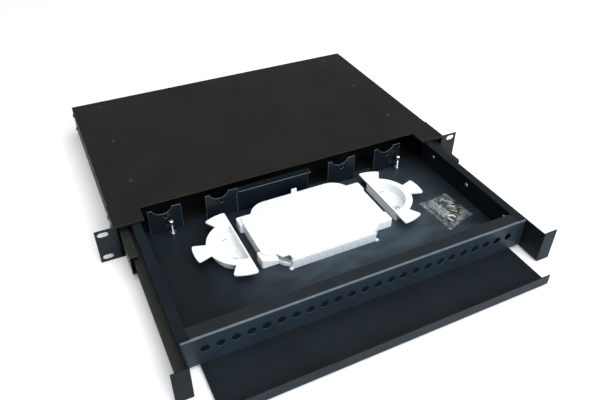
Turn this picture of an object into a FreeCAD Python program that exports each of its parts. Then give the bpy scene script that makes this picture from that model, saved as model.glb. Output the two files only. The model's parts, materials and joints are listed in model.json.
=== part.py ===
import FreeCAD, Part
import os
import re

import Sketcher

# Nineteen-inch, one-unit fibre termination box with a sliding splice drawer.
#
# Frame: +X to the right, +Y to the back, +Z up.  The origin is the centre of the four rack
# slots, in the front face of the rack ears.  The drawer is drawn as it stands when pulled
# out to its stop.  Heights in the formulas are counted from the underside of the sleeve,
# and every sub-part is then lowered by half the height of the sleeve.

DIMENSIONS = {
    # sleeve and rack ears
    "width": (438.0, "outside width of the sleeve"),
    "height": (44.0, "outside height of the sleeve, one rack unit less its gap"),
    "depth": (295.0, "depth of the sleeve behind the ears"),
    "sheet": (1.2, "thickness of the folded sheet steel"),
    "lip": (45.0, "width of the rails that carry the cover"),
    "mouth": (372.0, "width of the cut-out in the cover's front edge"),
    "setback": (23.0, "depth of the cut-out in the cover's front edge"),
    "ear_span": (482.6, "tip to tip over the two rack ears"),
    "ear_height": (43.6, "height of a rack ear"),
    "ear_sheet": (1.6, "thickness of a rack ear"),
    "ear_leg": (42.0, "length of the ear's leg along the sleeve"),
    "slot_span": (465.1, "distance between the left and right rack slots"),
    "slot_rise": (31.75, "distance between the upper and lower rack slots"),
    "slot_long": (12.0, "end-to-end length of a rack slot"),
    "slot_wide": (7.0, "width of a rack slot"),
    # drawer
    "arm_front": (-210.0, "front face of the drawer's front flanges"),
    "panel_front": (-181.0, "front face of the adapter panel"),
    "rear_front": (15.0, "front face of the drawer's rear uprights"),
    "floor_back": (27.0, "rear edge of the drawer's floor"),
    "drawer_half": (201.0, "half the width over the drawer's sides"),
    "flange_half": (217.0, "half the width over the front flanges"),
    "floor_low": (2.7, "underside of the drawer's floor"),
    "side_top": (41.0, "top of the drawer's sides"),
    "side_hem": (10.0, "width of the hem along the top of a side"),
    "flange_low": (1.5, "bottom of a front flange"),
    "flange_top": (42.0, "top of a front flange"),
    "tongue_front": (-242.0, "front face of the cable tongue's lip"),
    "tongue_half": (185.0, "half the width of the cable tongue"),
    "tongue_lip": (15.3, "top of the cable tongue's lip"),
    "panel_top": (40.6, "top of the adapter panel"),
    "panel_return": (15.5, "width of the adapter panel's top flange"),
    "panel_bend": (1.1, "outer radius of the bend of that flange"),
    "port_pitch": (15.5, "distance between adapter ports"),
    "port_bore": (9.4, "diameter of an adapter port"),
    "port_height": (23.5, "height of the row of adapter ports"),
    "fold": (11.0, "width of a joining flange"),
    "upright_top": (40.0, "top of the rear uprights"),
    "upright_left": (-71.5, "left end of the rear upright"),
    "upright_right": (24.0, "right end of the rear upright"),
    "upright_hem": (8.0, "depth of the hem on top of the rear upright"),
    "saddle_shift": (-12.0, "how far the four cable saddles stand off centre"),
    "saddle_left": (17.0, "from a saddle's middle to its left edge"),
    "saddle_right": (22.0, "from a saddle's middle to its right edge"),
    "scoop": (13.0, "radius of a saddle's scooped top edge"),
    "scoop_rise": (5.0, "height of the scoop's centre above the saddle"),
    "tie_hole": (5.0, "diameter of the hole for a cable tie"),
    "tie_shift": (3.0, "from a saddle's middle to its tie hole"),
    "tie_height": (27.5, "height of the tie holes"),
    "post_out": (156.0, "distance of an anchor post from the middle"),
    "post_row": (9.0, "how far back the anchor posts stand"),
    "post_top": (25.0, "top of an anchor post"),
    "post_nut": (8.0, "width of the nut under an anchor post"),
    "post_stem": (4.0, "diameter of an anchor post's stem"),
    "post_cap": (6.6, "diameter of an anchor post's cap"),
    # slides, counted inward from the sleeve's inner wall
    "slide_mid": (21.5, "height of the slides' centre line"),
    "track": (1.2, "thickness of the slide members"),
    "outer_rise": (34.0, "height of the fixed slide member"),
    "middle_rise": (24.4, "height of the middle slide member"),
    "inner_rise": (14.8, "height of the drawer's slide member"),
    "outer_front": (6.0, "front end of the fixed slide member"),
    "outer_long": (250.0, "length of the fixed slide member"),
    "middle_front": (-44.0, "front end of the middle slide member"),
    "middle_long": (190.0, "length of the middle slide member"),
    "inner_front": (-204.0, "front end of the drawer's slide member"),
    "inner_long": (218.0, "length of the drawer's slide member"),
    "outer_lips": (13.0, "how far the fixed and the middle member's lips reach inward"),
    "middle_web": (3.0, "outer face of the middle member's web"),
    "inner_lips": (7.0, "where the drawer member's lips end"),
    "cage_sheet": (0.6, "thickness of a ball cage"),
    "ball": (3.0, "diameter of a slide ball"),
    # splice tray and spools
    "stand": (3.9, "top of the drawer's floor, on which the trays stand"),
    "tray_middle": (-50.0, "middle of the splice tray and of the spools, front to back"),
    "tray_half": (67.0, "half the length of the splice tray's wide middle"),
    "tray_reach": (54.0, "half the depth of the splice tray's wide middle"),
    "tray_corner": (25.0, "corner radius of the wide middle"),
    "tray_end": (80.0, "half the length over the splice tray's narrower ends"),
    "tray_neck": (38.0, "half the depth of the narrower ends"),
    "tray_bend": (9.0, "corner radius of the narrower ends"),
    "tab_end": (84.0, "half the length over the four entry tabs"),
    "tab_root": (62.0, "inner edge of an entry tab"),
    "tab_reach": (41.0, "half the depth over the entry tabs"),
    "tab_wide": (16.0, "width of an entry tab"),
    "tray_top": (16.0, "top of the splice tray's wall"),
    "lug_top": (23.0, "top of the upright lug behind the splice tray"),
    "hub": (15.0, "radius of a winding hub in the splice tray"),
    "hub_out": (46.0, "distance of a winding hub from the middle"),
    "hub_top": (12.0, "top of a winding hub"),
    "comb_half": (22.0, "half the length of a splice comb"),
    "comb_wide": (24.0, "width of a splice comb"),
    "comb_top": (13.0, "top of a splice comb"),
    "comb_groove": (2.4, "width of a groove in a splice comb"),
    "comb_pitch": (4.0, "distance between the grooves"),
    "notch_out": (65.0, "outer end of the notch in the tray's and the lid's front edge"),
    "notch_in": (53.0, "inner end of the notch"),
    "wall": (1.6, "thickness of the moulded walls"),
    "lid_top": (18.2, "top of the splice tray's lid"),
    "spool_half": (93.0, "distance of a spool's flat side from the middle"),
    "spool_bow": (34.0, "radius of a spool's winding wall"),
    "spool_rim": (39.0, "radius of the rim on top of the winding wall"),
    "spool_reach": (55.0, "radius over a spool's retaining tabs"),
    "spool_top": (17.0, "top of a spool"),
    "boss": (4.5, "radius of a screw boss in a spool"),
    "boss_rise": (2.0, "height of a screw boss above the spool's floor"),
    # small hardware
    "bag_long": (56.0, "length of the accessory bag"),
    "bag_wide": (46.0, "width of the accessory bag"),
    "bag_thick": (7.0, "thickness of the accessory bag"),
    "bag_right": (162.5, "how far right the accessory bag lies"),
    "bag_row": (-94.0, "how far back the accessory bag lies"),
    "screw": (3.0, "diameter of the small screws"),
    "rivet": (3.2, "diameter of the slide rivets"),
    "entry_bore": (26.0, "diameter of a rear cable entry"),
    "gland_bore": (14.0, "diameter of the way through a cable grommet"),
    "gland_lip": (2.0, "thickness and overlap of a grommet's lips"),
    "gland_face": (2.5, "thickness of a grommet's outer lip"),
}
PORTS = 24
COVER_SCREW_ROW = (79, 179, 279)
EAR_SCREW_ROW = (16, 34)
EAR_SCREW_RISE = (-11, 11)
SLIDE_RIVET_ROW = (60, 140, 220)
DRAWER_RIVET_ROW = (-150, -80, -10)
SADDLE_OFFSETS = (-151, -82, 82, 151)
CABLE_ENTRIES = (-165, -120, 120, 165)
TRAY_SCREWS = [(x, y) for x in (-68, 68) for y in (-77, -23)]
SPOOL_SCREWS = [(14, -18), (14, 18)]
SPOOL_TABS = (-76, 0, 76)
TAB_HALF_ANGLE = 15
COMB_GROOVES = 6
BAG_TURN = 5
PLUS_X = FreeCAD.Vector(1, 0, 0)

doc = FreeCAD.newDocument("fibre_termination_box")
sub_parts = []

sheet = doc.addObject("Spreadsheet::Sheet", "dims")
for row, (alias, (value, meaning)) in enumerate(DIMENSIONS.items(), start=1):
    sheet.set(f"A{row}", meaning)
    sheet.set(f"B{row}", str(value))
    sheet.setAlias(f"B{row}", alias)
doc.recompute()


def formula(text):
    """Write a formula's dimension names as references to the spreadsheet."""
    return re.sub(r"[a-z_]{3,}", lambda word: "dims." + word.group(), str(text))


def bind(item, **formulas):
    """Tie properties of an object to formulas over the spreadsheet."""
    for name, text in formulas.items():
        item.setExpression(name.replace("__", "."), formula(text))
    return item


def finish(item, label):
    """Name a sub-part and lower it so that the origin is at mid-height."""
    item.Label = label
    bind(item, Placement__Base__z="-height / 2")
    sub_parts.append(item)
    return item


def mirror(item, label):
    """Make the left-hand twin of a finished right-hand sub-part."""
    twin = doc.addObject("Part::Mirroring", label)
    twin.Source = item
    twin.Normal = PLUS_X
    twin.Label = label
    sub_parts.append(twin)
    return twin


def block(across, along, up):
    """Box between (low, high) formulas on X, Y and Z."""
    box = doc.addObject("Part::Box", "block")
    for size, axis, (low, high) in zip(("Length", "Width", "Height"), "xyz", (across, along, up)):
        box.setExpression(size, formula(f"({high}) - ({low})"))
        box.setExpression(f"Placement.Base.{axis}", formula(low))
    return box


def rod(radius, axis, span, first, second):
    """Cylinder along an axis between two formulas; first and second place the other axes."""
    turns = {"x": FreeCAD.Rotation(0, 90, 0), "y": FreeCAD.Rotation(0, 0, -90), "z": FreeCAD.Rotation()}
    cylinder = doc.addObject("Part::Cylinder", "rod")
    cylinder.Placement.Rotation = turns[axis]
    bind(cylinder, Radius=radius, Height=f"({span[1]}) - ({span[0]})")
    others = [name for name in "xyz" if name != axis]
    for name, text in zip((axis, *others), (span[0], first, second)):
        cylinder.setExpression(f"Placement.Base.{name}", formula(text))
    return cylinder


def sector(radius, low, high, middle, half_angle, x, y):
    """Upright pie slice about (x, y), facing the angle middle, between two heights."""
    slice_ = doc.addObject("Part::Cylinder", "sector")
    slice_.Placement.Rotation = FreeCAD.Rotation(middle - half_angle, 0, 0)
    slice_.Angle = 2 * half_angle
    bind(slice_, Radius=radius, Height=f"({high}) - ({low})")
    return bind(slice_, Placement__Base__x=x, Placement__Base__y=y, Placement__Base__z=low)


def fuse(*items):
    """Weld solids into one."""
    joined = doc.addObject("Part::MultiFuse", "fuse")
    joined.Shapes = list(items)
    joined.Refine = True
    return joined


def group(*items):
    """Keep loose solids together as one sub-part."""
    bundle = doc.addObject("Part::Compound", "group")
    bundle.Links = list(items)
    return bundle


def cut(base, *tools):
    """Take the tools away from a solid."""
    trimmed = doc.addObject("Part::Cut", "cut")
    trimmed.Base = base
    trimmed.Tool = tools[0] if len(tools) == 1 else group(*tools)
    return trimmed


def rounded(solid, radius):
    """Round the upright edges of a block."""
    doc.recompute()
    upright = [number for number, edge in enumerate(solid.Shape.Edges, start=1)
               if abs(edge.tangentAt(edge.FirstParameter).z) > 0.99]
    smooth = doc.addObject("Part::Fillet", "rounded")
    smooth.Base = solid
    size = float(sheet.evalExpression(formula(radius)))
    smooth.Edges = [(number, size, size) for number in upright]
    return smooth


def new_body(label):
    """Start an empty PartDesign body."""
    return doc.addObject("PartDesign::Body", label)


def outline(body, plane, corners, offset="0"):
    """Closed sketch in one of the body's origin planes, every corner held by two formulas."""
    sketch = body.newObject("Sketcher::SketchObject", "outline")
    origin_plane = next(part for part in body.Origin.OriginFeatures if part.Role == plane)
    sketch.AttachmentSupport = [(origin_plane, "")]
    sketch.MapMode = "FlatFace"
    bind(sketch, AttachmentOffset__Base__z=offset)
    points = [FreeCAD.Vector(*(float(sheet.evalExpression(formula(text))) for text in corner), 0)
              for corner in corners]
    count = len(points)
    for index, point in enumerate(points):
        sketch.addGeometry(Part.LineSegment(point, points[(index + 1) % count]))
    for index in range(count):
        sketch.addConstraint(Sketcher.Constraint("Coincident", index, 2, (index + 1) % count, 1))
    for index, corner in enumerate(corners):
        for kind, text, place in zip(("DistanceX", "DistanceY"), corner, points[index]):
            held = sketch.addConstraint(Sketcher.Constraint(kind, -1, 1, index, 1, place))
            sketch.setExpression(f"Constraints[{held}]", formula(text))
    return sketch


def hole_sketch(body, plane, diameter, spots, offset="0"):
    """Sketch of equal circles at the given spots."""
    sketch = body.newObject("Sketcher::SketchObject", "holes")
    origin_plane = next(part for part in body.Origin.OriginFeatures if part.Role == plane)
    sketch.AttachmentSupport = [(origin_plane, "")]
    sketch.MapMode = "FlatFace"
    bind(sketch, AttachmentOffset__Base__z=offset)
    for index, spot in enumerate(spots):
        x, y = (float(sheet.evalExpression(formula(text))) for text in spot)
        size = float(sheet.evalExpression(formula(diameter)))
        sketch.addGeometry(Part.Circle(FreeCAD.Vector(x, y, 0), FreeCAD.Vector(0, 0, 1), size / 2))
        wide = sketch.addConstraint(Sketcher.Constraint("Diameter", index, size))
        sketch.setExpression(f"Constraints[{wide}]", formula(diameter))
        for kind, text, place in zip(("DistanceX", "DistanceY"), spot, (x, y)):
            held = sketch.addConstraint(Sketcher.Constraint(kind, -1, 1, index, 3, place))
            sketch.setExpression(f"Constraints[{held}]", formula(text))
    return sketch


def pad(body, sketch, length, reverse=False):
    """Thicken a sketch into the body."""
    feature = body.newObject("PartDesign::Pad", "pad")
    feature.Profile = sketch
    feature.Reversed = reverse
    bind(feature, Length=length)
    return feature


def bend(body, row, level, radius):
    """Round the left-to-right edge of a body that lies at a row and a level."""
    doc.recompute()
    spot = [float(sheet.evalExpression(formula(text))) for text in (row, level)]
    found = [f"Edge{number}" for number, edge in enumerate(body.Tip.Shape.Edges, start=1)
             if all(abs(v.Y - spot[0]) < 1e-4 and abs(v.Z - spot[1]) < 1e-4 for v in edge.Vertexes)]
    if not found:
        raise RuntimeError(f"no edge to bend at {row}, {level}")
    last = body.Tip
    fold = body.newObject("PartDesign::Fillet", "bend")
    fold.Base = (last, found)
    bind(fold, Radius=radius)
    return fold


def pocket(body, sketch):
    """Cut a sketch right through the body both ways, and see that it took something away."""
    doc.recompute()
    before = body.Shape.Volume
    feature = body.newObject("PartDesign::Pocket", "pocket")
    feature.Profile = sketch
    feature.Type = "ThroughAll"
    feature.Midplane = True
    doc.recompute()
    if not body.Shape.Volume < before:
        raise RuntimeError(f"a pocket in {body.Name} took nothing away")
    return feature


# ---------------------------------------------------------------- sleeve

def make_sleeve_base():
    """Bottom, sides and cover rails, folded from one sheet."""
    body = new_body("sleeve_base")
    half, top = "width / 2", "height - sheet"
    profile = [
        (f"-{half}", "0"), (half, "0"), (half, top), (f"{half} - lip", top),
        (f"{half} - lip", f"{top} - sheet"), (f"{half} - sheet", f"{top} - sheet"),
        (f"{half} - sheet", "sheet"), (f"-{half} + sheet", "sheet"),
        (f"-{half} + sheet", f"{top} - sheet"), (f"-{half} + lip", f"{top} - sheet"),
        (f"-{half} + lip", top), (f"-{half}", top),
    ]
    pad(body, outline(body, "XZ_Plane", profile), "depth", reverse=True)
    screw_spots = [(f"{side} * (width / 2 - lip + 9)", row) for side in (-1, 1) for row in COVER_SCREW_ROW]
    pocket(body, hole_sketch(body, "XY_Plane", "screw + 0.2", screw_spots, "height - sheet"))
    front = outline(body, "XY_Plane", [
        ("-mouth / 2", "-1"), ("mouth / 2", "-1"),
        ("mouth / 2", "setback + 1"), ("-mouth / 2", "setback + 1"),
    ], "height - 2.5 * sheet")
    relief = body.newObject("PartDesign::Pocket", "relief")
    relief.Profile = front
    relief.Reversed = True
    bind(relief, Length="3 * sheet")
    side_holes = [(row, "slide_mid") for row in SLIDE_RIVET_ROW]
    pocket(body, hole_sketch(body, "YZ_Plane", "rivet + 0.2", side_holes))
    ear_holes = [(row, f"height / 2 + {rise}") for row in EAR_SCREW_ROW for rise in EAR_SCREW_RISE]
    pocket(body, hole_sketch(body, "YZ_Plane", "screw + 0.2", ear_holes))
    rear_holes = [("depth - fold / 2", f"height / 2 + {rise}") for rise in EAR_SCREW_RISE]
    pocket(body, hole_sketch(body, "YZ_Plane", "screw + 0.2", rear_holes))
    return finish(body, "sleeve_base")


def make_top_cover():
    """Flat cover, cut back along its front edge so that the ports can be reached."""
    body = new_body("top_cover")
    half, inner = "width / 2", "mouth / 2"
    shape = [
        (f"-{half}", "0"), (f"-{inner}", "0"), (f"-{inner}", "setback"), (inner, "setback"),
        (inner, "0"), (half, "0"), (half, "depth"), (f"-{half}", "depth"),
    ]
    pad(body, outline(body, "XY_Plane", shape, "height - sheet"), "sheet")
    spots = [(f"{side} * (width / 2 - lip + 9)", row) for side in (-1, 1) for row in COVER_SCREW_ROW]
    pocket(body, hole_sketch(body, "XY_Plane", "2 * screw + 0.6", spots))
    return finish(body, "top_cover")


def make_cover_screws():
    """Six countersunk screws that hold the cover on its rails."""
    screws = []
    for side in (-1, 1):
        for row in COVER_SCREW_ROW:
            x = f"{side} * (width / 2 - lip + 9)"
            head = rod("screw", "z", ("height - sheet", "height"), x, row)
            shank = rod("screw / 2", "z", ("height - 2 * sheet - 0.3", "height - sheet"), x, row)
            slot = block((f"{x} - 2", f"{x} + 2"), (f"{row} - 0.4", f"{row} + 0.4"),
                         ("height - 0.7", "height + 1"))
            cross = block((f"{x} - 0.4", f"{x} + 0.4"), (f"{row} - 2", f"{row} + 2"),
                          ("height - 0.7", "height + 1"))
            screws.append(cut(fuse(head, shank), slot, cross))
    return finish(group(*screws), "cover_screws")


def make_rear_panel():
    """Back wall with four round cable entries and a joining flange at each end."""
    body = new_body("rear_panel")
    half = "(width / 2 - sheet - 0.1)"
    flat = [
        (f"-{half}", "depth - fold"), (f"-{half} + sheet", "depth - fold"),
        (f"-{half} + sheet", "depth - sheet"), (f"{half} - sheet", "depth - sheet"),
        (f"{half} - sheet", "depth - fold"), (half, "depth - fold"), (half, "depth"), (f"-{half}", "depth"),
    ]
    pad(body, outline(body, "XY_Plane", flat, "sheet + 0.1"), "height - 3 * sheet - 0.2")
    pocket(body, hole_sketch(body, "XZ_Plane", "entry_bore", [(x, "height / 2") for x in CABLE_ENTRIES]))
    rear_holes = [("depth - fold / 2", f"height / 2 + {rise}") for rise in EAR_SCREW_RISE]
    pocket(body, hole_sketch(body, "YZ_Plane", "screw + 0.2", rear_holes))
    return finish(body, "rear_panel")


def make_cable_grommets():
    """Four rubber grommets, each a groove that grips the rear panel's edge."""
    grommets = []
    mid, inside, outside = "height / 2", "depth - sheet - 0.1", "depth + 0.1"
    for x in CABLE_ENTRIES:
        inner_lip = rod("entry_bore / 2 + gland_lip", "y", (f"{inside} - gland_lip", inside), x, mid)
        neck = rod("entry_bore / 2 - 0.1", "y", (inside, outside), x, mid)
        outer_lip = rod("entry_bore / 2 + gland_lip", "y", (outside, f"{outside} + gland_face"), x, mid)
        way = rod("gland_bore / 2", "y", ("depth - 9", "depth + 9"), x, mid)
        grommets.append(cut(fuse(inner_lip, neck, outer_lip), way))
    return finish(group(*grommets), "cable_grommets")


def make_rack_ear():
    """Angle with two rack slots in its front leg, screwed to the side of the sleeve."""
    half, tip = "width / 2", "ear_span / 2"
    low, high = "(height - ear_height) / 2", "(height + ear_height) / 2"
    front = block((half, tip), ("0", "ear_sheet"), (low, high))
    leg = block((half, f"{half} + ear_sheet"), ("0", "ear_leg"), (low, high))
    openings = []
    for rise in (-1, 1):
        mid = f"height / 2 + {rise} * slot_rise / 2"
        openings.append(block(
            ("slot_span / 2 - (slot_long - slot_wide) / 2", "slot_span / 2 + (slot_long - slot_wide) / 2"),
            ("-1", "ear_sheet + 1"), (f"{mid} - slot_wide / 2", f"{mid} + slot_wide / 2")))
        for end in (-1, 1):
            x = f"slot_span / 2 + {end} * (slot_long - slot_wide) / 2"
            openings.append(rod("slot_wide / 2", "y", ("-1", "ear_sheet + 1"), x, mid))
    for row in EAR_SCREW_ROW:
        for rise in EAR_SCREW_RISE:
            openings.append(rod("screw / 2 + 0.1", "x", ("width / 2 - 1", "width / 2 + 4"),
                                row, f"height / 2 + {rise}"))
    slots = fuse(*openings)
    return finish(cut(fuse(front, leg), slots), "rack_ear_right")


def side_screw(x, row, z, shank_long):
    """Screw driven inward through the right-hand side, its head resting at x."""
    head = rod("screw", "x", (x, f"{x} + 1.6"), row, z)
    shank = rod("screw / 2", "x", (f"{x} - ({shank_long})", x), row, z)
    slots = [block((f"{x} + 1", f"{x} + 3"), (f"{row} - {long}", f"{row} + {long}"),
                   (f"{z} - {tall}", f"{z} + {tall}"))
             for long, tall in ((1.7, 0.35), (0.35, 1.7))]
    return cut(fuse(head, shank), *slots)


def both_sides(solids):
    """The right-hand solids and their mirror images, as one group."""
    right = group(*solids)
    left = doc.addObject("Part::Mirroring", "left")
    left.Source = right
    left.Normal = PLUS_X
    return group(right, left)


def make_ear_screws():
    """Eight pan-head screws that hold the rack ears."""
    solids = [side_screw("width / 2 + ear_sheet", row, f"height / 2 + {rise}", "ear_sheet + sheet")
              for row in EAR_SCREW_ROW for rise in EAR_SCREW_RISE]
    return finish(both_sides(solids), "ear_screws")


def make_rear_panel_screws():
    """Four pan-head screws that hold the rear panel between the sides."""
    solids = [side_screw("width / 2", "depth - fold / 2", f"height / 2 + {rise}", "4 * sheet")
              for rise in EAR_SCREW_RISE]
    return finish(both_sides(solids), "rear_panel_screws")


# ---------------------------------------------------------------- slides

def channel(label, web, lips, rise, front, length):
    """Channel section at the right-hand side: web and lips are distances from the sleeve's wall."""
    body = new_body(label)
    wall = "width / 2 - sheet"
    back, edge, tips = (f"{wall} - ({distance})" for distance in (web[0], web[1], lips))
    top, bottom = f"slide_mid + ({rise}) / 2", f"slide_mid - ({rise}) / 2"
    thick = web[2]
    profile = [
        (back, bottom), (back, top), (tips, top), (tips, f"{top} - {thick}"),
        (edge, f"{top} - {thick}"), (edge, f"{bottom} + {thick}"),
        (tips, f"{bottom} + {thick}"), (tips, bottom),
    ]
    pad(body, outline(body, "XZ_Plane", profile, f"-({front})"), length, reverse=True)
    return body


def make_slide_members():
    """Fixed, middle and drawer members of the two telescopic slides."""
    gap = "width / 2 - sheet - drawer_half"
    fixed = channel("slide_outer_right", ("0", "track", "track"), "outer_lips",
                    "outer_rise", "outer_front", "outer_long")
    middle = channel("slide_middle_right", ("middle_web", "middle_web + track", "track"), "outer_lips",
                     "middle_rise", "middle_front", "middle_long")
    inner = channel("slide_inner_right", (gap, f"{gap} - track", "track"), "inner_lips",
                    "inner_rise", "inner_front", "inner_long")
    for member, row in ((fixed, SLIDE_RIVET_ROW), (inner, DRAWER_RIVET_ROW)):
        pocket(member, hole_sketch(member, "YZ_Plane", "rivet + 0.2", [(y, "slide_mid") for y in row]))
    for member in (fixed, middle, inner):
        label = member.Name
        mirror(finish(member, label), label.replace("right", "left"))


def make_ball_cage(label, web, lips, rise, front, length, ball_depth, balls):
    """Thin channel that spaces a row of balls along its upper and its lower edge."""
    strip = channel(f"{label}_strip", (web, f"{web} + cage_sheet", "cage_sheet"), lips,
                    f"{rise} + cage_sheet", front, length)
    x = f"width / 2 - sheet - {ball_depth}"
    windows, loose = [], []
    for edge in (-1, 1):
        for index in range(balls):
            y = f"{front} + ({length}) * {(index + 0.5) / balls}"
            z = f"slide_mid + {edge} * ({rise}) / 2"
            windows.append(rod("ball / 2 + 0.1", "z", (f"{z} - 2", f"{z} + 2"), x, y))
            sphere = doc.addObject("Part::Sphere", "ball")
            bind(sphere, Radius="ball / 2", Placement__Base__x=x, Placement__Base__y=y, Placement__Base__z=z)
            loose.append(sphere)
    cage = finish(group(cut(strip, *windows), *loose), f"{label}_right")
    return mirror(cage, f"{label}_left")


def make_slide_rivets():
    """Domed rivets: three through each side of the sleeve and three through each drawer side."""
    outer, inner = [], []
    wall, face = "width / 2", "drawer_half - sheet"
    for row in SLIDE_RIVET_ROW:
        head = rod("rivet", "x", (wall, f"{wall} + 1"), row, "slide_mid")
        shank = rod("rivet / 2", "x", (f"{wall} - sheet - track", wall), row, "slide_mid")
        outer.append(fuse(head, shank))
    for row in DRAWER_RIVET_ROW:
        head = rod("rivet", "x", (f"{face} - 1", face), row, "slide_mid")
        shank = rod("rivet / 2", "x", (face, f"{face} + sheet + track"), row, "slide_mid")
        inner.append(fuse(head, shank))
    finish(both_sides(outer), "outer_slide_rivets")
    finish(both_sides(inner), "inner_slide_rivets")


# ---------------------------------------------------------------- drawer

def make_drawer_floor():
    """Floor of the drawer with the narrower cable tongue and its upturned lip in front."""
    body = new_body("drawer_floor")
    wide, narrow, step = "drawer_half - sheet", "tongue_half", "panel_front + sheet"
    plan = [
        (f"-({wide})", step), (f"-{narrow}", step), (f"-{narrow}", "tongue_front"), (narrow, "tongue_front"),
        (narrow, step), (wide, step), (wide, "floor_back"), (f"-({wide})", "floor_back"),
    ]
    pad(body, outline(body, "XY_Plane", plan, "floor_low"), "sheet")
    strip = [
        (f"-{narrow}", "tongue_front"), (narrow, "tongue_front"),
        (narrow, "tongue_front + sheet"), (f"-{narrow}", "tongue_front + sheet"),
    ]
    pad(body, outline(body, "XY_Plane", strip, "floor_low"), "tongue_lip - floor_low")
    spots = TRAY_SCREWS + [(f"{side} * (spool_half + {dx})", f"tray_middle + {dy}")
                           for side in (-1, 1) for dx, dy in SPOOL_SCREWS]
    pocket(body, hole_sketch(body, "XY_Plane", "screw + 0.2", spots))
    return finish(body, "drawer_floor")


def make_drawer_side():
    """Right-hand side: hemmed along the top, with a flange turned outward at the front."""
    outer, inner = "drawer_half", "drawer_half - sheet"
    wall = block((inner, outer), ("arm_front", "rear_front + sheet"), ("floor_low", "side_top"))
    hem = block((f"{outer} - side_hem", outer), ("panel_front + sheet", "rear_front + sheet"),
                ("side_top - sheet", "side_top"))
    flange = block((inner, "flange_half"), ("arm_front", "arm_front + sheet"), ("flange_low", "flange_top"))
    holes = [rod("rivet / 2 + 0.1", "x", ("drawer_half - 4", "drawer_half + 4"), row, "slide_mid")
             for row in DRAWER_RIVET_ROW]
    side = finish(cut(fuse(wall, hem, flange), *holes), "drawer_side_right")
    return mirror(side, "drawer_side_left")


def make_adapter_panel():
    """Upright panel with one row of round adapter ports, a foot and two end flanges."""
    body = new_body("adapter_panel")
    half = "(drawer_half - sheet - 0.1)"
    front, back = "panel_front", "panel_front + sheet"
    plan = [
        (f"-{half}", front), (half, front),
        (half, f"{front} + fold"), (f"{half} - sheet", f"{front} + fold"),
        (f"{half} - sheet", back), (f"-{half} + sheet", back),
        (f"-{half} + sheet", f"{front} + fold"), (f"-{half}", f"{front} + fold"),
    ]
    pad(body, outline(body, "XY_Plane", plan, "stand"), "side_top - sheet - 0.2 - stand")
    crest = [(f"-{half}", front), (half, front), (half, back), (f"-{half}", back)]
    pad(body, outline(body, "XY_Plane", crest, "stand"), "panel_top - stand")
    foot = [(f"-{half}", back), (half, back), (half, f"{front} + fold"), (f"-{half}", f"{front} + fold")]
    pad(body, outline(body, "XY_Plane", foot, "stand"), "sheet")
    reach = "(drawer_half - side_hem - 0.5)"
    brim = [(f"-{reach}", back), (reach, back),
            (reach, f"{front} + panel_return"), (f"-{reach}", f"{front} + panel_return")]
    pad(body, outline(body, "XY_Plane", brim, "panel_top - sheet"), "sheet")
    bend(body, "panel_front", "panel_top", "panel_bend")
    doc.recompute()
    before = body.Shape.Volume
    first = hole_sketch(body, "XZ_Plane", "port_bore", [(f"-port_pitch * {(PORTS - 1) / 2}", "port_height")],
                        "-panel_front + 1")
    port = body.newObject("PartDesign::Pocket", "port")
    port.Profile = first
    bind(port, Length="sheet + 2")
    doc.recompute()
    if not body.Shape.Volume < before:
        raise RuntimeError("the adapter port took nothing away")
    row = body.newObject("PartDesign::LinearPattern", "port_row")
    row.Originals = [port]
    row.Direction = (first, ["H_Axis"])
    row.Occurrences = PORTS
    bind(row, Length=f"port_pitch * {PORTS - 1}")
    body.Tip = row
    return finish(body, "adapter_panel")


def make_rear_wall():
    """Middle upright at the back of the drawer, hemmed forward at the top."""
    across, back = ("upright_left", "upright_right"), "rear_front + sheet"
    wall = block(across, ("rear_front", back), ("stand", "upright_top"))
    hem = block(across, ("rear_front - upright_hem", back), ("upright_top - sheet", "upright_top"))
    foot = block(across, ("rear_front", "rear_front + fold"), ("stand", "stand + sheet"))
    return finish(fuse(wall, hem, foot), "rear_wall")


def make_cable_saddles():
    """Four uprights with a scooped top edge in which a cable is tied down."""
    saddles = []
    for offset in SADDLE_OFFSETS:
        x = f"saddle_shift + {offset}"
        across, back = (f"{x} - saddle_left", f"{x} + saddle_right"), "rear_front + sheet"
        wall = block(across, ("rear_front", back), ("stand", "upright_top"))
        foot = block(across, ("rear_front", "rear_front + fold"), ("stand", "stand + sheet"))
        reach = ("rear_front - 2", "rear_front + 4")
        scoop = rod("scoop", "y", reach, x, "upright_top + scoop_rise")
        tie_hole = rod("tie_hole / 2", "y", reach, f"{x} + tie_shift", "tie_height")
        saddles.append(cut(fuse(wall, foot), scoop, tie_hole))
    return finish(group(*saddles), "cable_saddles")


def make_anchor_posts():
    """Two plated posts on which the cables' strength members are clamped."""
    posts = []
    for x in ("-post_out", "post_out"):
        nut = rod("post_nut / 2", "z", ("stand", "stand + 3"), x, "post_row")
        stem = rod("post_stem / 2", "z", ("stand", "post_top"), x, "post_row")
        cap = rod("post_cap / 2", "z", ("post_top - 6", "post_top"), x, "post_row")
        posts.append(fuse(nut, stem, cap))
    return finish(group(*posts), "anchor_posts")


# ---------------------------------------------------------------- splice tray, spools, bag

def tray_outline(inset, low, high):
    """Wide middle and narrower ends of the splice tray, drawn in by inset, between two heights."""
    middle, ends = ("tray_half", "tray_reach", "tray_corner"), ("tray_end", "tray_neck", "tray_bend")
    pieces = []
    for half, reach, corner in (middle, ends):
        across = (f"-{half} + {inset}", f"{half} - {inset}")
        along = (f"tray_middle - {reach} + {inset}", f"tray_middle + {reach} - {inset}")
        pieces.append(rounded(block(across, along, (low, high)), f"{corner} - {inset}"))
    return fuse(*pieces)


def front_notch(low):
    """Space taken out of the front edge of the tray and of its lid."""
    front = "tray_middle - tray_reach"
    return block(("-notch_out", "-notch_in"), (f"{front} - 2", f"{front} + 9"), (low, "lid_top + 2"))


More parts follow.
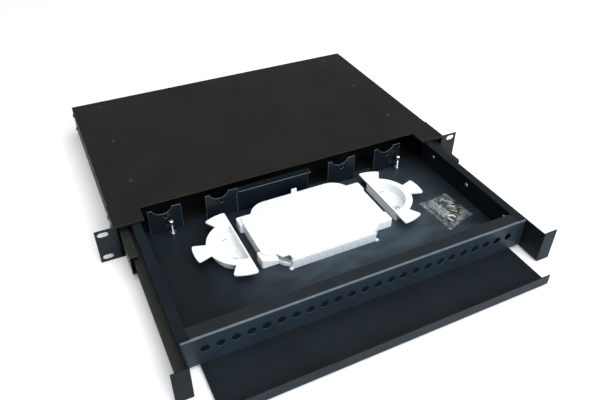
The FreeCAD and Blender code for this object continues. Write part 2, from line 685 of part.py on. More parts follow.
def make_splice_tray():
    """Open tray with four entry tabs, a front latch plate, a rear lug and two winding hubs."""
    floor_top = "stand + wall"
    hollow = tray_outline("wall", floor_top, "tray_top + 1")
    tabs = []
    for side in (-1, 1):
        across = ("tab_root", "tab_end") if side > 0 else ("-tab_end", "-tab_root")
        for along in (("tray_middle + tab_reach - tab_wide", "tray_middle + tab_reach"),
                      ("tray_middle - tab_reach", "tray_middle - tab_reach + tab_wide")):
            tabs.append(cut(block(across, along, ("stand", "tray_top")), hollow))
    front, back = "tray_middle - tray_reach", "tray_middle + tray_reach"
    plate = block(("-notch_in", "notch_in"), (f"{front} - 0.8", f"{front} + wall"), ("stand", "tray_top"))
    toes = [block(span, (f"{front} - 2.4", f"{front} + wall"), ("stand", "stand + 3"))
            for span in (("-notch_in - 4", "-notch_in"), ("notch_in", "notch_in + 4"))]
    lug_foot = block(("-4", "3"), (f"{back} - 0.2", f"{back} + 0.5"), ("stand", "tray_top"))
    lug = block(("-4", "3"), (f"{back} + 0.3", f"{back} + 2.5"), ("stand", "lug_top"))
    hubs = []
    for x in ("-hub_out", "hub_out"):
        hub = rod("hub", "z", (f"{floor_top} - 0.5", "hub_top"), x, "tray_middle")
        well = rod("hub - wall", "z", (floor_top, "hub_top + 1"), x, "tray_middle")
        hubs.append(cut(hub, well))
    walls = cut(tray_outline("0", "stand", "tray_top"), hollow, front_notch("stand + 5"))
    holes = [rod("screw / 2 + 0.1", "z", ("1", "20"), x, y) for x, y in TRAY_SCREWS]
    return finish(cut(fuse(walls, *tabs, plate, *toes, lug_foot, lug, *hubs), *holes), "splice_tray")


def make_splice_holders():
    """Two combs whose grooves hold six fusion splices each, side by side in the tray."""
    combs = []
    for step in (-1, 1):
        y = f"(tray_middle + {step} * (comb_wide / 2 + 3))"
        comb = block(("-comb_half", "comb_half"), (f"{y} - comb_wide / 2", f"{y} + comb_wide / 2"),
                     ("stand + wall", "comb_top"))
        grooves = []
        for index in range(COMB_GROOVES):
            mid = f"{y} + comb_pitch * {index - (COMB_GROOVES - 1) / 2}"
            across = (f"{mid} - comb_groove / 2", f"{mid} + comb_groove / 2")
            grooves.append(block(("-comb_half - 1", "comb_half + 1"), across, ("8", "comb_top + 1")))
        combs.append(cut(comb, *grooves))
    return finish(group(*combs), "splice_holders")


def make_splice_tray_lid():
    """Loose lid of the tray's outline, with a raised middle and the front notch."""
    low = "tray_top + 0.1"
    plate = tray_outline("0", low, f"{low} + wall")
    crown = tray_outline("7", f"{low} + wall - 0.2", "lid_top")
    return finish(cut(fuse(plate, crown), front_notch("tray_top - 2")), "splice_tray_lid")


def make_half_moon():
    """Half-round fibre spool, open on top, with a rim and three tabs that keep the loops down."""
    x, y, rim_low, floor_top = "spool_half", "tray_middle", "spool_top - wall", "stand + wall"
    drum = sector("spool_bow", "stand", "spool_top", 0, 90, x, y)
    rim = sector("spool_rim", rim_low, "spool_top", 0, 90, x, y)
    tabs = [sector("spool_reach", rim_low, "spool_top", angle, TAB_HALF_ANGLE, x, y) for angle in SPOOL_TABS]
    inside = sector("spool_bow - 2 * wall", floor_top, "spool_top + 1", 0, 90, "spool_half + wall", y)
    bosses, holes = [], []
    for dx, dy in SPOOL_SCREWS:
        spot = (f"{x} + {dx}", f"{y} + {dy}")
        bosses.append(rod("boss", "z", (f"{floor_top} - 0.2", f"{floor_top} + boss_rise"), *spot))
        holes.append(rod("screw / 2 + 0.1", "z", ("1", "20"), *spot))
    behind = block(("spool_half - 30", "spool_half"), ("tray_middle - 60", "tray_middle + 60"), ("1", "20"))
    shell = cut(fuse(drum, rim, *tabs), inside, behind)
    moon = finish(cut(fuse(shell, *bosses), *holes), "half_moon_right")
    return mirror(moon, "half_moon_left")


def floor_screw(x, y, seat):
    """Upright screw with its head resting at the height seat."""
    head = rod("screw", "z", (seat, f"{seat} + 1.8"), x, y)
    shank = rod("screw / 2", "z", ("floor_low - 0.4", seat), x, y)
    slots = [block((f"{x} - {long}", f"{x} + {long}"), (f"{y} - {wide}", f"{y} + {wide}"),
                   (f"{seat} + 1.1", f"{seat} + 3"))
             for long, wide in ((1.8, 0.35), (0.35, 1.8))]
    return cut(fuse(head, shank), *slots)


def make_tray_screws():
    """Eight pan-head screws: four through the tray's floor and two through each spool."""
    solids = [floor_screw(f"{x}", f"{y}", "stand + wall") for x, y in TRAY_SCREWS]
    boss_top = "stand + wall + boss_rise"
    solids += [floor_screw(f"{side} * (spool_half + {dx})", f"tray_middle + {dy}", boss_top)
               for side in (-1, 1) for dx, dy in SPOOL_SCREWS]
    return finish(group(*solids), "tray_screws")


def make_accessory_bag():
    """Plain solid for the soft bag of splice sleeves and screws that lies in the drawer."""
    across, along = ("-bag_wide / 2", "bag_wide / 2"), ("-bag_long / 2", "bag_long / 2")
    pillow = rounded(block(across, along, ("0", "bag_thick")), "8")
    pillow.Placement.Rotation = FreeCAD.Rotation(BAG_TURN, 0, 0)
    bind(pillow, Placement__Base__x="bag_right", Placement__Base__y="bag_row")
    bag = group(pillow)
    bag.Label = "accessory_bag"
    bind(bag, Placement__Base__z="stand + 0.1 - height / 2")
    sub_parts.append(bag)
    return bag


def check_and_export():
    """Stop on any failed object, then write one STEP file for each sub-part."""
    doc.recompute()
    for item in doc.Objects:
        if any(word in item.State for word in ("Invalid", "Error")):
            raise RuntimeError(f"{item.Name} ({item.Label}) is in state {item.State}")
    os.makedirs("parts", exist_ok=True)
    for item in sub_parts:
        if item.Shape.isNull() or not item.Shape.isValid():
            raise RuntimeError(f"{item.Label} has no valid shape")
        item.Shape.exportStep(f"parts/{item.Label}.step")
        print(f"{item.Label}: {len(item.Shape.Solids)} solids, {item.Shape.Volume / 1000:.2f} cm3")


make_sleeve_base()
make_top_cover()
make_cover_screws()
make_rear_panel()
make_cable_grommets()
mirror(make_rack_ear(), "rack_ear_left")
make_ear_screws()
make_rear_panel_screws()
make_slide_members()
make_ball_cage("fixed_ball_cage", "1.8", "11", "28", 36, 80, "8", 8)
make_ball_cage("moving_ball_cage", "4.8", "12.4", "18.4", -40, 50, "10", 5)
make_slide_rivets()
make_drawer_floor()
make_drawer_side()
make_adapter_panel()
make_rear_wall()
make_cable_saddles()
make_anchor_posts()
make_splice_tray()
make_splice_holders()
make_splice_tray_lid()
make_half_moon()
make_tray_screws()
make_accessory_bag()
check_and_export()
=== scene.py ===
import json
import logging
import math
import random
from collections.abc import Callable, Iterable, Sequence
from dataclasses import dataclass, field
from enum import Enum

import bmesh
import bpy
from mathutils import Matrix, Vector, noise


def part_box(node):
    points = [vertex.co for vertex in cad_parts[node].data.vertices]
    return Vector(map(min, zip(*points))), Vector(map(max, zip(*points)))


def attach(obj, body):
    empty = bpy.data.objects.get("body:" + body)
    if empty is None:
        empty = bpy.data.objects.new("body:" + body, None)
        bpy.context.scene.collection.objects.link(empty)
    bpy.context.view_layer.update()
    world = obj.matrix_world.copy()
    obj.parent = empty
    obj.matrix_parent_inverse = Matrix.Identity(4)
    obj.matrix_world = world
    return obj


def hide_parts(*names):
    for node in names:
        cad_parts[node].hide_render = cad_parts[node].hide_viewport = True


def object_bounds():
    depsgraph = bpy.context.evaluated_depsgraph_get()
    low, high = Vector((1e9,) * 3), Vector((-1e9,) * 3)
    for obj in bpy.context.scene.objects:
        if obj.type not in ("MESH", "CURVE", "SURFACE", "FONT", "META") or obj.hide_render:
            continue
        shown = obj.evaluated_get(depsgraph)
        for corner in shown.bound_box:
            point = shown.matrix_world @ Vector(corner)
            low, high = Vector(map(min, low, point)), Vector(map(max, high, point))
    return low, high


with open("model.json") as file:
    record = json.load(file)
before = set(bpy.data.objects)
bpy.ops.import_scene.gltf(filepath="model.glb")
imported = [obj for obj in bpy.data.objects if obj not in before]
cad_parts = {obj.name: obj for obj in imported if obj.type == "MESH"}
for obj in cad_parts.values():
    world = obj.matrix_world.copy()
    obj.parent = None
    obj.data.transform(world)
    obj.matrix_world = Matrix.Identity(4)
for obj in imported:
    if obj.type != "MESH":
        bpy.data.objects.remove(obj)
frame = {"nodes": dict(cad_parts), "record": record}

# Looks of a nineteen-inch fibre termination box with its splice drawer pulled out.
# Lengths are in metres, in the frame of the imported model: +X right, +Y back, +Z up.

Colour = tuple[float, float, float]
Triple = tuple[float, float, float]
Point = tuple[float, float]
Profile = Sequence[Point]
Socket = bpy.types.NodeSocket

CAD_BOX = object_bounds()
BODY_OF = {node: body for body, nodes in frame["record"]["behaviour"]["bodies"].items()
           for node in nodes}
LOG = logging.getLogger("termination_box")
MM = 0.001
TOUCHING = 1e-6
UP = Vector((0, 0, 1))


# ------------------------------------------------------------------ finishes

class Nodes:
    """Shader nodes of one material, with short ways to add and join them."""

    def __init__(self, name: str) -> None:
        """Start a material that holds one Principled shader.

        Args:
            name: Name of the material.
        """
        self.material = bpy.data.materials.new(name)
        self.material.use_nodes = True
        self.tree = self.material.node_tree
        self.tree.nodes.clear()
        self.output = self.node("ShaderNodeOutputMaterial")
        self.shader = self.node("ShaderNodeBsdfPrincipled")
        self.link(self.shader.outputs["BSDF"], self.output.inputs["Surface"])
        self.place = self.node("ShaderNodeTexCoord").outputs["Object"]

    def node(self, kind: str, **inputs: object) -> bpy.types.Node:
        """Add a node.

        Args:
            kind: Blender's name of the node type.
            inputs: Values of its input sockets, with _ for a space in a socket's name.

        Returns:
            The new node.
        """
        made = self.tree.nodes.new(kind)
        for name, value in inputs.items():
            made.inputs[name.replace("_", " ")].default_value = value
        return made

    def link(self, source: Socket, target: Socket) -> None:
        """Join an output to an input."""
        self.tree.links.new(source, target)

    def constant(self, **values: object) -> None:
        """Set plain values on the shader's own sockets."""
        for name, value in values.items():
            self.shader.inputs[name.replace("_", " ")].default_value = value

    def noise(self, size: float, detail: float = 2.0, stretch: Triple = (1, 1, 1)) -> Socket:
        """Cloudy pattern.

        Args:
            size: Width of one cloud in metres.
            detail: How many finer layers it carries.
            stretch: How many times longer a cloud is along each axis.

        Returns:
            The pattern's value, about 0.5 on average.
        """
        mapping = self.node("ShaderNodeMapping")
        mapping.inputs["Scale"].default_value = tuple(1 / share for share in stretch)
        self.link(self.place, mapping.inputs["Vector"])
        pattern = self.node("ShaderNodeTexNoise", Scale=1 / size, Detail=detail)
        self.link(mapping.outputs["Vector"], pattern.inputs["Vector"])
        return pattern.outputs["Fac"]

    def spread(self, value: Socket, low: float, high: float,
               start: float = 0.35, end: float = 0.65) -> Socket:
        """Stretch a pattern's middle part over a range.

        Args:
            value: The pattern.
            low: Result where the pattern is at start.
            high: Result where the pattern is at end.
            start: Value of the pattern that gives low.
            end: Value of the pattern that gives high.

        Returns:
            The stretched pattern.
        """
        made = self.node("ShaderNodeMapRange", From_Min=start, From_Max=end,
                         To_Min=low, To_Max=high)
        self.link(value, made.inputs["Value"])
        return made.outputs["Result"]

    def cloudy(self, size: float, detail: float, low: float = 0.0, high: float = 1.0,
               stretch: Triple = (1, 1, 1)) -> Socket:
        """Cloudy pattern stretched over a range.

        Args:
            size: Width of one cloud in metres.
            detail: How many finer layers it carries.
            low: Result in the darkest clouds.
            high: Result in the brightest clouds.
            stretch: How many times longer a cloud is along each axis.

        Returns:
            The pattern.
        """
        return self.spread(self.noise(size, detail, stretch), low, high)

    def coat(self, colour: Socket) -> None:
        """Join a colour to the shader."""
        self.link(colour, self.shader.inputs["Base Color"])

    def polish(self, roughness: Socket) -> None:
        """Join a roughness to the shader."""
        self.link(roughness, self.shader.inputs["Roughness"])

    def blend(self, share: Socket, first: Colour, second: Colour) -> Socket:
        """Colour between two colours.

        Args:
            share: 0 for the first colour, 1 for the second.
            first: A colour.
            second: Another colour.

        Returns:
            The blended colour.
        """
        made = self.tree.nodes.new("ShaderNodeMixRGB")
        made.inputs["Color1"].default_value = (*first, 1)
        made.inputs["Color2"].default_value = (*second, 1)
        self.link(share, made.inputs["Fac"])
        return made.outputs["Color"]

    def mixed(self, share: Socket, under: Socket, over: Colour) -> Socket:
        """Lay a colour over a pattern.

        Args:
            share: 0 for the pattern, 1 for the colour.
            under: The pattern.
            over: The colour.

        Returns:
            The result.
        """
        made = self.tree.nodes.new("ShaderNodeMixRGB")
        made.inputs["Color2"].default_value = (*over, 1)
        self.link(share, made.inputs["Fac"])
        self.link(under, made.inputs["Color1"])
        return made.outputs["Color"]

    def along(self, axis: str) -> Socket:
        """Position along one axis, in metres.

        Args:
            axis: X, Y or Z.

        Returns:
            The position.
        """
        parts = self.node("ShaderNodeSeparateXYZ")
        self.link(self.place, parts.inputs["Vector"])
        return parts.outputs[axis]

    def maths(self, kind: str, first: Socket,
              second: Socket | float = 0.0) -> Socket:
        """Calculate with one or two values.

        Args:
            kind: Blender's name of the calculation.
            first: A value.
            second: Another value, or a plain number.

        Returns:
            The result.
        """
        made = self.tree.nodes.new("ShaderNodeMath")
        made.operation = kind
        self.link(first, made.inputs[0])
        if isinstance(second, float):
            made.inputs[1].default_value = second
        else:
            self.link(second, made.inputs[1])
        return made.outputs[0]

    def bump(self, layers: Iterable[tuple[Socket, float]]) -> None:
        """Raise the surface by patterns.

        Args:
            layers: Each pattern with its height in metres.
        """
        normal = None
        for pattern, height in layers:
            made = self.node("ShaderNodeBump", Strength=1.0, Distance=height)
            self.link(pattern, made.inputs["Height"])
            if normal:
                self.link(normal, made.inputs["Normal"])
            normal = made.outputs["Normal"]
        self.link(normal, self.shader.inputs["Normal"])


@dataclass(frozen=True)
class Finish:
    """A surface finish, made into a material when it is first asked for."""

    name: str
    slot: str
    colour: Colour

    def material(self) -> bpy.types.Material:
        """The finish as a Blender material.

        Returns:
            The material, made once and then used again.
        """
        found = bpy.data.materials.get(self.name)
        if found:
            return found
        nodes = Nodes(self.name)
        self.lay_on(nodes)
        return nodes.material

    def lay_on(self, nodes: Nodes) -> None:
        """Fill the material; each kind of finish has its own way."""
        raise NotImplementedError

    def shade(self, factor: float) -> Colour:
        """The finish's colour made lighter or darker."""
        return tuple(channel * factor for channel in self.colour)


@dataclass(frozen=True)
class PowderCoat(Finish):
    """Baked powder paint: fine grain over a gentle orange peel, a little uneven in gloss."""

    roughness: float = 0.5
    gloss: float = 0.13
    grain: float = 0.014 * MM
    # How many times paler and glossier rounded edges are: scuffed thin paint, and on the saddles
    # and the rear wall a painted highlight.
    wear_and_highlight: float = 3.0
    # Painted sheen: how many times lighter the paint is at its middle, where that middle lies, how
    # far it reaches and where it stops towards the front.
    sheen_gain: float = 0.0
    sheen_middle: Point = (0.0, 0.0)
    sheen_reach: float = 0.12
    sheen_front: float = -0.150
    # Painted light on a bend: the height above which the bend gets a painted highlight, and the row
    # behind which the flange gets painted shade; then the highlight's colour.
    bend: Point | None = None
    painted_highlight: Colour | None = None
    cloud_size: float = 60.0 * MM
    mark_size: float = 22.0 * MM
    peel_size: float = 1.6 * MM
    grain_size: float = 0.42 * MM
    unevenness: float = 0.05

    def pale(self) -> Colour:
        """Paler colour of rounded edges and the bend: scuffed thin paint, and on the saddles, the
        rear wall and the port panel a painted highlight.
        """
        return self.painted_highlight or self.shade(self.wear_and_highlight)

    def edge(self) -> "PowderCoat":
        """The same paint on rounded edges, paler and glossier: scuffed thin paint, and on some
        finishes a painted highlight.

        Returns:
            The paint for the edges.
        """
        gloss = min(0.5, self.gloss * self.wear_and_highlight)
        return PowderCoat(f"{self.name}_edge", self.slot, self.pale(), self.roughness - 0.06,
                          gloss, self.grain * 0.5)

    def lay_on(self, nodes: Nodes) -> None:
        """Mix cloudy colour, handling marks and grain.

        Args:
            nodes: Nodes of the material.
        """
        paint = nodes.blend(nodes.cloudy(self.cloud_size, 3), self.shade(0.86), self.shade(1.16))
        # Painted sheen: a lighter patch mixed into the paint.
        if self.sheen_gain:
            paint = nodes.mixed(self.painted_sheen_share(nodes), paint, self.shade(self.sheen_gain))
        # Painted highlight along the bend and painted shade on the flange behind it.
        if self.bend:
            paint = self.bend_highlight_and_shade(nodes, paint)
        nodes.coat(paint)
        nodes.polish(nodes.cloudy(self.mark_size, 4, self.roughness + self.unevenness,
                                  self.roughness - self.unevenness, (1.0, 2.6, 1.0)))
        nodes.constant(Specular_IOR_Level=self.gloss)
        nodes.bump([(nodes.noise(self.peel_size, 1), self.grain * 0.8),
                    (nodes.noise(self.grain_size, 1), self.grain)])

    def painted_sheen_share(self, nodes: Nodes) -> Socket:
        """Share of painted sheen: most at the sheen's middle, cut off towards the front and broken
        up into streaks.

        Args:
            nodes: Nodes of the material.

        Returns:
            The share, from 0 to 1.
        """
        away = nodes.node("ShaderNodeVectorMath")
        away.operation = "DISTANCE"
        nodes.link(nodes.place, away.inputs[0])
        away.inputs[1].default_value = (*self.sheen_middle, 0)
        near = nodes.spread(away.outputs["Value"], 1, 0, 0.3 * self.sheen_reach, self.sheen_reach)
        soft = 4 * MM
        inside = nodes.spread(nodes.along("Y"), 0, 1, self.sheen_front - soft,
                              self.sheen_front + soft)
        sheen_streaks = nodes.cloudy(14 * MM, 4, 0.55, 1.0, (2.5, 1, 1))
        return nodes.maths("MULTIPLY", nodes.maths("MULTIPLY", near, sheen_streaks), inside)

    def bend_highlight_and_shade(self, nodes: Nodes, paint: Socket) -> Socket:
        """Painted highlight on the bend above a height, and painted shade on the flange behind a
        row.

        Args:
            nodes: Nodes of the material.
            paint: Colour of the paint so far.

        Returns:
            The colour with its painted highlight and painted shade.
        """
        height, row = self.bend
        # Painted highlight: paler streaks on the bend above this height.
        start = nodes.spread(nodes.along("Z"), 0, 1, height, height + 0.4 * MM)
        painted_highlight = nodes.maths("MULTIPLY", start, nodes.cloudy(9 * MM, 3, 0.65, 1.0))
        # Painted shade: the flange behind this row takes the darker colour.
        behind = nodes.spread(nodes.along("Y"), 0, 1, row, row + 0.8 * MM)
        return nodes.mixed(behind, nodes.mixed(painted_highlight, paint, self.pale()), FLANGE_SHADE_COLOUR)


@dataclass(frozen=True)
class MetalFinish(Finish):
    """Bare or plated metal with fine marks along one direction."""

    roughness: float = 0.3
    metallic: float = 1.0
    streak: Colour = (1.0, 1.0, 1.0)
    contrast: float = 0.18

    def lay_on(self, nodes: Nodes) -> None:
        """Mix drawn streaks into colour and gloss.

        Args:
            nodes: Nodes of the material.
        """
        streaks = nodes.noise(0.5 * MM, 3, self.streak)
        nodes.coat(nodes.blend(nodes.spread(streaks, 0, 1), self.shade(1 - self.contrast),
                               self.shade(1 + self.contrast)))
        nodes.polish(nodes.cloudy(4 * MM, 3, self.roughness * 0.8, self.roughness * 1.25))
        nodes.constant(Metallic=self.metallic)
        nodes.bump([(streaks, 0.006 * MM)])


@dataclass(frozen=True)
class Moulded(Finish):
    """Moulded plastic with a fine matt mould texture and slight flow shading."""

    roughness: float = 0.42
    depth: float = 0.06

    def lay_on(self, nodes: Nodes) -> None:
        """Mix flow shading with the mould's texture.

        Args:
            nodes: Nodes of the material.
        """
        nodes.coat(nodes.blend(nodes.cloudy(35 * MM, 2), self.shade(0.965), self.shade(1.0)))
        nodes.polish(nodes.cloudy(9 * MM, 3, self.roughness - 0.06, self.roughness + 0.06))
        nodes.constant(Subsurface_Weight=self.depth, Subsurface_Radius=(1.0, 0.9, 0.85),
                       Subsurface_Scale=1.2 * MM, IOR=1.53)
        nodes.bump([(nodes.noise(5 * MM, 1), 0.02 * MM),
                    (nodes.noise(0.35 * MM, 1), 0.012 * MM)])


@dataclass(frozen=True)
class SoftRubber(Finish):
    """Matt rubber with a bloom of dust."""

    def lay_on(self, nodes: Nodes) -> None:
        """Mix bloom with a dull skin.

        Args:
            nodes: Nodes of the material.
        """
        nodes.coat(nodes.blend(nodes.cloudy(6 * MM, 4), self.shade(0.8), self.shade(1.7)))
        nodes.polish(nodes.cloudy(3 * MM, 2, 0.68, 0.85))
        nodes.bump([(nodes.noise(0.8 * MM, 2), 0.03 * MM)])


@dataclass(frozen=True)
class ClearFilm(Finish):
    """Thin clear plastic that shows what lies behind it, with painted glints as paler, less clear
    spots and crease lines.
    """

    clearness: float = 0.9
    glint_opacity: float = 0.35
    crease: float = 0.25 * MM
    roughness: float = 0.12

    def lay_on(self, nodes: Nodes) -> None:
        """Mix painted glints, pale spots and sharp crease lines, into how much the film hides.

        Args:
            nodes: Nodes of the material.
        """
        nodes.constant(IOR=1.5, Specular_IOR_Level=1.0)
        nodes.coat(nodes.blend(nodes.cloudy(5 * MM, 3), self.shade(0.7), self.shade(1.0)))
        nodes.polish(nodes.cloudy(3 * MM, 2, self.roughness, self.roughness * 2.2))
        # Painted glints: paler, less clear spots and thin crease lines in the film.
        glint_patches = nodes.spread(nodes.noise(7.5 * MM, 2), 1 - self.clearness, self.glint_opacity,
                               0.48, 0.66)
        middle = nodes.maths("SUBTRACT", nodes.noise(9 * MM, 3), 0.5)
        glint_ridges = nodes.spread(nodes.maths("ABSOLUTE", middle), self.glint_opacity, 0, 0.0, 0.02)
        nodes.link(nodes.maths("ADD", glint_patches, glint_ridges), nodes.shader.inputs["Alpha"])
        nodes.bump([(nodes.noise(7 * MM, 3), self.crease),
                    (nodes.noise(2.2 * MM, 2), self.crease * 0.3)])


@dataclass(frozen=True)
class StudioPaper(Finish):
    """Pale seamless paper under the object."""

    def lay_on(self, nodes: Nodes) -> None:
        """Mix a barely visible fibre pattern.

        Args:
            nodes: Nodes of the material.
        """
        nodes.coat(nodes.blend(nodes.cloudy(3 * MM, 3), self.shade(0.99), self.shade(1.0)))
        nodes.constant(Roughness=0.9, Specular_IOR_Level=0.1)


# Darker colour for the port panel's top flange: painted shade, as the flange takes less of the
# bluish front light.
FLANGE_SHADE_COLOUR = (0.0088, 0.0125, 0.0160)
POWDER_BLACK = PowderCoat("sleeve_powder_coat", "powder_black", (0.0116, 0.0109, 0.0089),
                          roughness=0.38)
SIDE_BLACK = PowderCoat("sleeve_side_coat", "powder_black", (0.0105, 0.0100, 0.0090),
                        roughness=0.5, gloss=0.05)
# Rack ears: a bluer copy of the sleeve paint, standing in for the bluish front light that falls on
# them.
EAR_LIT_BLACK = PowderCoat("ear_lit_powder_coat", "powder_black", (0.0098, 0.0140, 0.0175),
                       roughness=0.36)
# Drawer floor: its painted sheen is a lighter patch right of the middle, standing in for a
# reflection of the lights.
FLOOR_BLACK = PowderCoat("drawer_floor_coat", "panel_black", (0.0088, 0.0122, 0.0153),
                         roughness=0.36, gloss=0.09, sheen_gain=6.0, sheen_middle=(0.05, -0.120),
                         sheen_reach=0.20)
HEM_BLACK = PowderCoat("drawer_side_coat", "panel_black", (0.0080, 0.0118, 0.0150),
                       roughness=0.42, gloss=0.08)
# Cable saddles: a darker copy of the drawer paint, painted shade under the cover, with edges 26
# times paler as painted highlights on their tips.
SADDLE_SHADED_BLACK = PowderCoat("saddle_shaded_coat", "panel_black", (0.0062, 0.0090, 0.0115),
                          roughness=0.36, wear_and_highlight=26.0)
# Rear wall: a darker copy of the drawer paint, painted shade under the cover, with edges 12 times
# paler as painted highlights on its top hem and ends.
WALL_SHADED_BLACK = PowderCoat("rear_wall_shaded_coat", "panel_black", (0.0042, 0.0074, 0.0098),
                        roughness=0.44, gloss=0.06, wear_and_highlight=12.0)
# Port panel: a lit copy of the drawer paint, lighter and bluer than the floor to stand in for the
# bluish front light and its sheen, with a painted highlight on its top bend.
FRONT_LIT_BLACK = PowderCoat("front_lit_powder_coat", "panel_black", (0.0150, 0.0240, 0.0325),
                         roughness=0.38, gloss=0.28, wear_and_highlight=5.0,
                         bend=(16.7 * MM, -179.6 * MM), painted_highlight=(0.105, 0.125, 0.140))
SLIDE_STEEL = MetalFinish("drawn_slide_steel", "slide_steel", (0.021, 0.021, 0.021),
                          roughness=0.42, metallic=0.4, streak=(1.0, 60.0, 1.0), contrast=0.35)
CAGE_STEEL = MetalFinish("bright_cage_steel", "cage_steel", (0.5, 0.5, 0.48),
                         roughness=0.3, streak=(1.0, 40.0, 1.0))
BLACK_OXIDE = MetalFinish("black_oxide", "fastener_black", (0.05, 0.05, 0.052),
                          roughness=0.36, metallic=0.7)
ZINC = MetalFinish("zinc_plate", "fastener_zinc", (0.72, 0.73, 0.73),
                   roughness=0.24, contrast=0.08)
YELLOW_ZINC = MetalFinish("yellow_zinc", "fastener_zinc", (0.30, 0.29, 0.15),
                          roughness=0.3, contrast=0.3)
WHITE_ABS = Moulded("moulded_white", "white_abs", (0.80, 0.81, 0.825))
NYLON = Moulded("black_nylon", "clear_film", (0.020, 0.024, 0.021), roughness=0.35, depth=0.0)
GROMMET_RUBBER = SoftRubber("dusty_rubber", "grommet_rubber", (0.016, 0.016, 0.017))
# Bag film: mostly clear, with painted glints as paler spots and crease lines.
BAG_FILM = ClearFilm("bag_film", "clear_film", (0.54, 0.58, 0.58), clearness=0.95)
# Splice sleeve tubes: less clear, with stronger painted glints.
SLEEVE_TUBE = ClearFilm("splice_sleeve_tube", "clear_film", (0.55, 0.6, 0.6), clearness=0.7,
                        glint_opacity=0.5, crease=0.02 * MM, roughness=0.08)
PAPER = StudioPaper("studio_paper", "", (0.97, 0.97, 0.97))


# ------------------------------------------------------------------ mesh work

def turns(steps: int) -> list[float]:
    """Angles of equal steps round a circle, in radians."""
    return [2 * math.pi * step / steps for step in range(steps)]


def around(radius: float, angle: float) -> Point:
    """Point at a distance and an angle in radians from the middle."""
    return radius * math.cos(angle), radius * math.sin(angle)


def arc(centre: Point, radius: float, start: float, end: float, steps: int) -> list[Point]:
    """Points along an arc.

    Args:
        centre: Centre of the arc.
        radius: Its radius.
        start: Angle of the first point in degrees.
        end: Angle of the last point in degrees.
        steps: How many pieces the arc is cut into.

    Returns:
        The points, both ends among them.
    """
    angles = [math.radians(start + (end - start) * index / steps) for index in range(steps + 1)]
    return [(centre[0] + radius * math.cos(a), centre[1] + radius * math.sin(a)) for a in angles]


def rounded(corners: Sequence[Triple], steps: int = 5) -> list[Point]:
    """Closed outline with rounded corners.

    Args:
        corners: Position and radius of each corner, in order.
        steps: How many pieces each rounding is cut into.

    Returns:
        The outline's points.
    """
    points: list[Point] = []
    for index, (x, y, radius) in enumerate(corners):
        here = Vector((x, y))
        to_last = (Vector(corners[index - 1][:2]) - here).normalized()
        to_next = (Vector(corners[(index + 1) % len(corners)][:2]) - here).normalized()
        half = to_last.angle(to_next) / 2
        if radius <= 0 or half > math.radians(89):
            points += [(x, y)] * (steps + 1) if radius > 0 else [(x, y)]
            continue
        reach = radius / math.tan(half)
        centre = here + (to_last + to_next).normalized() * (radius / math.sin(half))
        first, last = here + to_last * reach - centre, here + to_next * reach - centre
        turn = first.angle_signed(last)
        for step in range(steps + 1):
            spoke = first.copy()
            spoke.rotate(Matrix.Rotation(-turn * step / steps, 2))
            points.append((centre.x + spoke.x, centre.y + spoke.y))
    return points


def inset(outline: Sequence[Point], distance: float) -> list[Point]:
    """Draw a counter-clockwise outline in by a distance, or out if it is negative.

    Args:
        outline: The outline.
        distance: How far each side moves in.

    Returns:
        The new outline, with as many points.
    """
    moved = []
    count = len(outline)
    for index in range(count):
        here = Vector(outline[index])
        back, ahead = index - 1, (index + 1) % count
        while (Vector(outline[back]) - here).length < 0.1 * TOUCHING:
            back -= 1
        while (Vector(outline[ahead]) - here).length < 0.1 * TOUCHING:
            ahead = (ahead + 1) % count
        before = (here - Vector(outline[back])).normalized()
        after = (Vector(outline[ahead]) - here).normalized()
        first, second = Vector((-before.y, before.x)), Vector((-after.y, after.x))
        way = first + second
        stretch = 0.0
        if way.length > TOUCHING:
            stretch = distance / max(0.35, 0.5 * way.length_squared)
        moved.append((here.x + way.x * stretch, here.y + way.y * stretch))
    return moved


def mirrored(quarter: Sequence[Point]) -> list[Point]:
    """Whole counter-clockwise outline from its right rear quarter, listed from +X to +Y."""
    half = list(quarter) + [(-x, y) for x, y in reversed(quarter)]
    return half + [(x, -y) for x, y in reversed(half)]


def solids_of(node: str) -> list[tuple[Vector, Vector]]:
    """Boxes of a CAD node's separate solids.

    Args:
        node: Name of the CAD node.

    Returns:
        The lowest and the highest corner of each solid, from left to right and front to back.
    """
    mesh = frame["nodes"][node].data
    key = [tuple(round(c, 6) for c in vertex.co) for vertex in mesh.vertices]
    parent = {spot: spot for spot in key}

    def root(spot: tuple[float, ...]) -> tuple[float, ...]:
        """The spot that stands for a whole solid.

        Args:
            spot: Place of a vertex.

        Returns:
            The place that its whole solid is known by.
        """
        while parent[spot] != spot:
            parent[spot] = parent[parent[spot]]
            spot = parent[spot]
        return spot

    for edge in mesh.edges:
        first, second = (root(key[index]) for index in edge.vertices)
        parent[first] = second
    groups: dict[tuple[float, ...], list[tuple[float, ...]]] = {}
    for spot in parent:
        groups.setdefault(root(spot), []).append(spot)
    boxes = [(Vector(map(min, zip(*spots))), Vector(map(max, zip(*spots))))
             for spots in groups.values()]
    return sorted(boxes, key=lambda box: tuple(round(measure, 4) for measure in box[0]))


def facing(spot: Vector, axis: Vector) -> Matrix:
    """Placement at a spot that turns a piece's own Z axis to the given axis."""
    return Matrix.Translation(spot) @ axis.to_track_quat("Z", "Y").to_matrix().to_4x4()


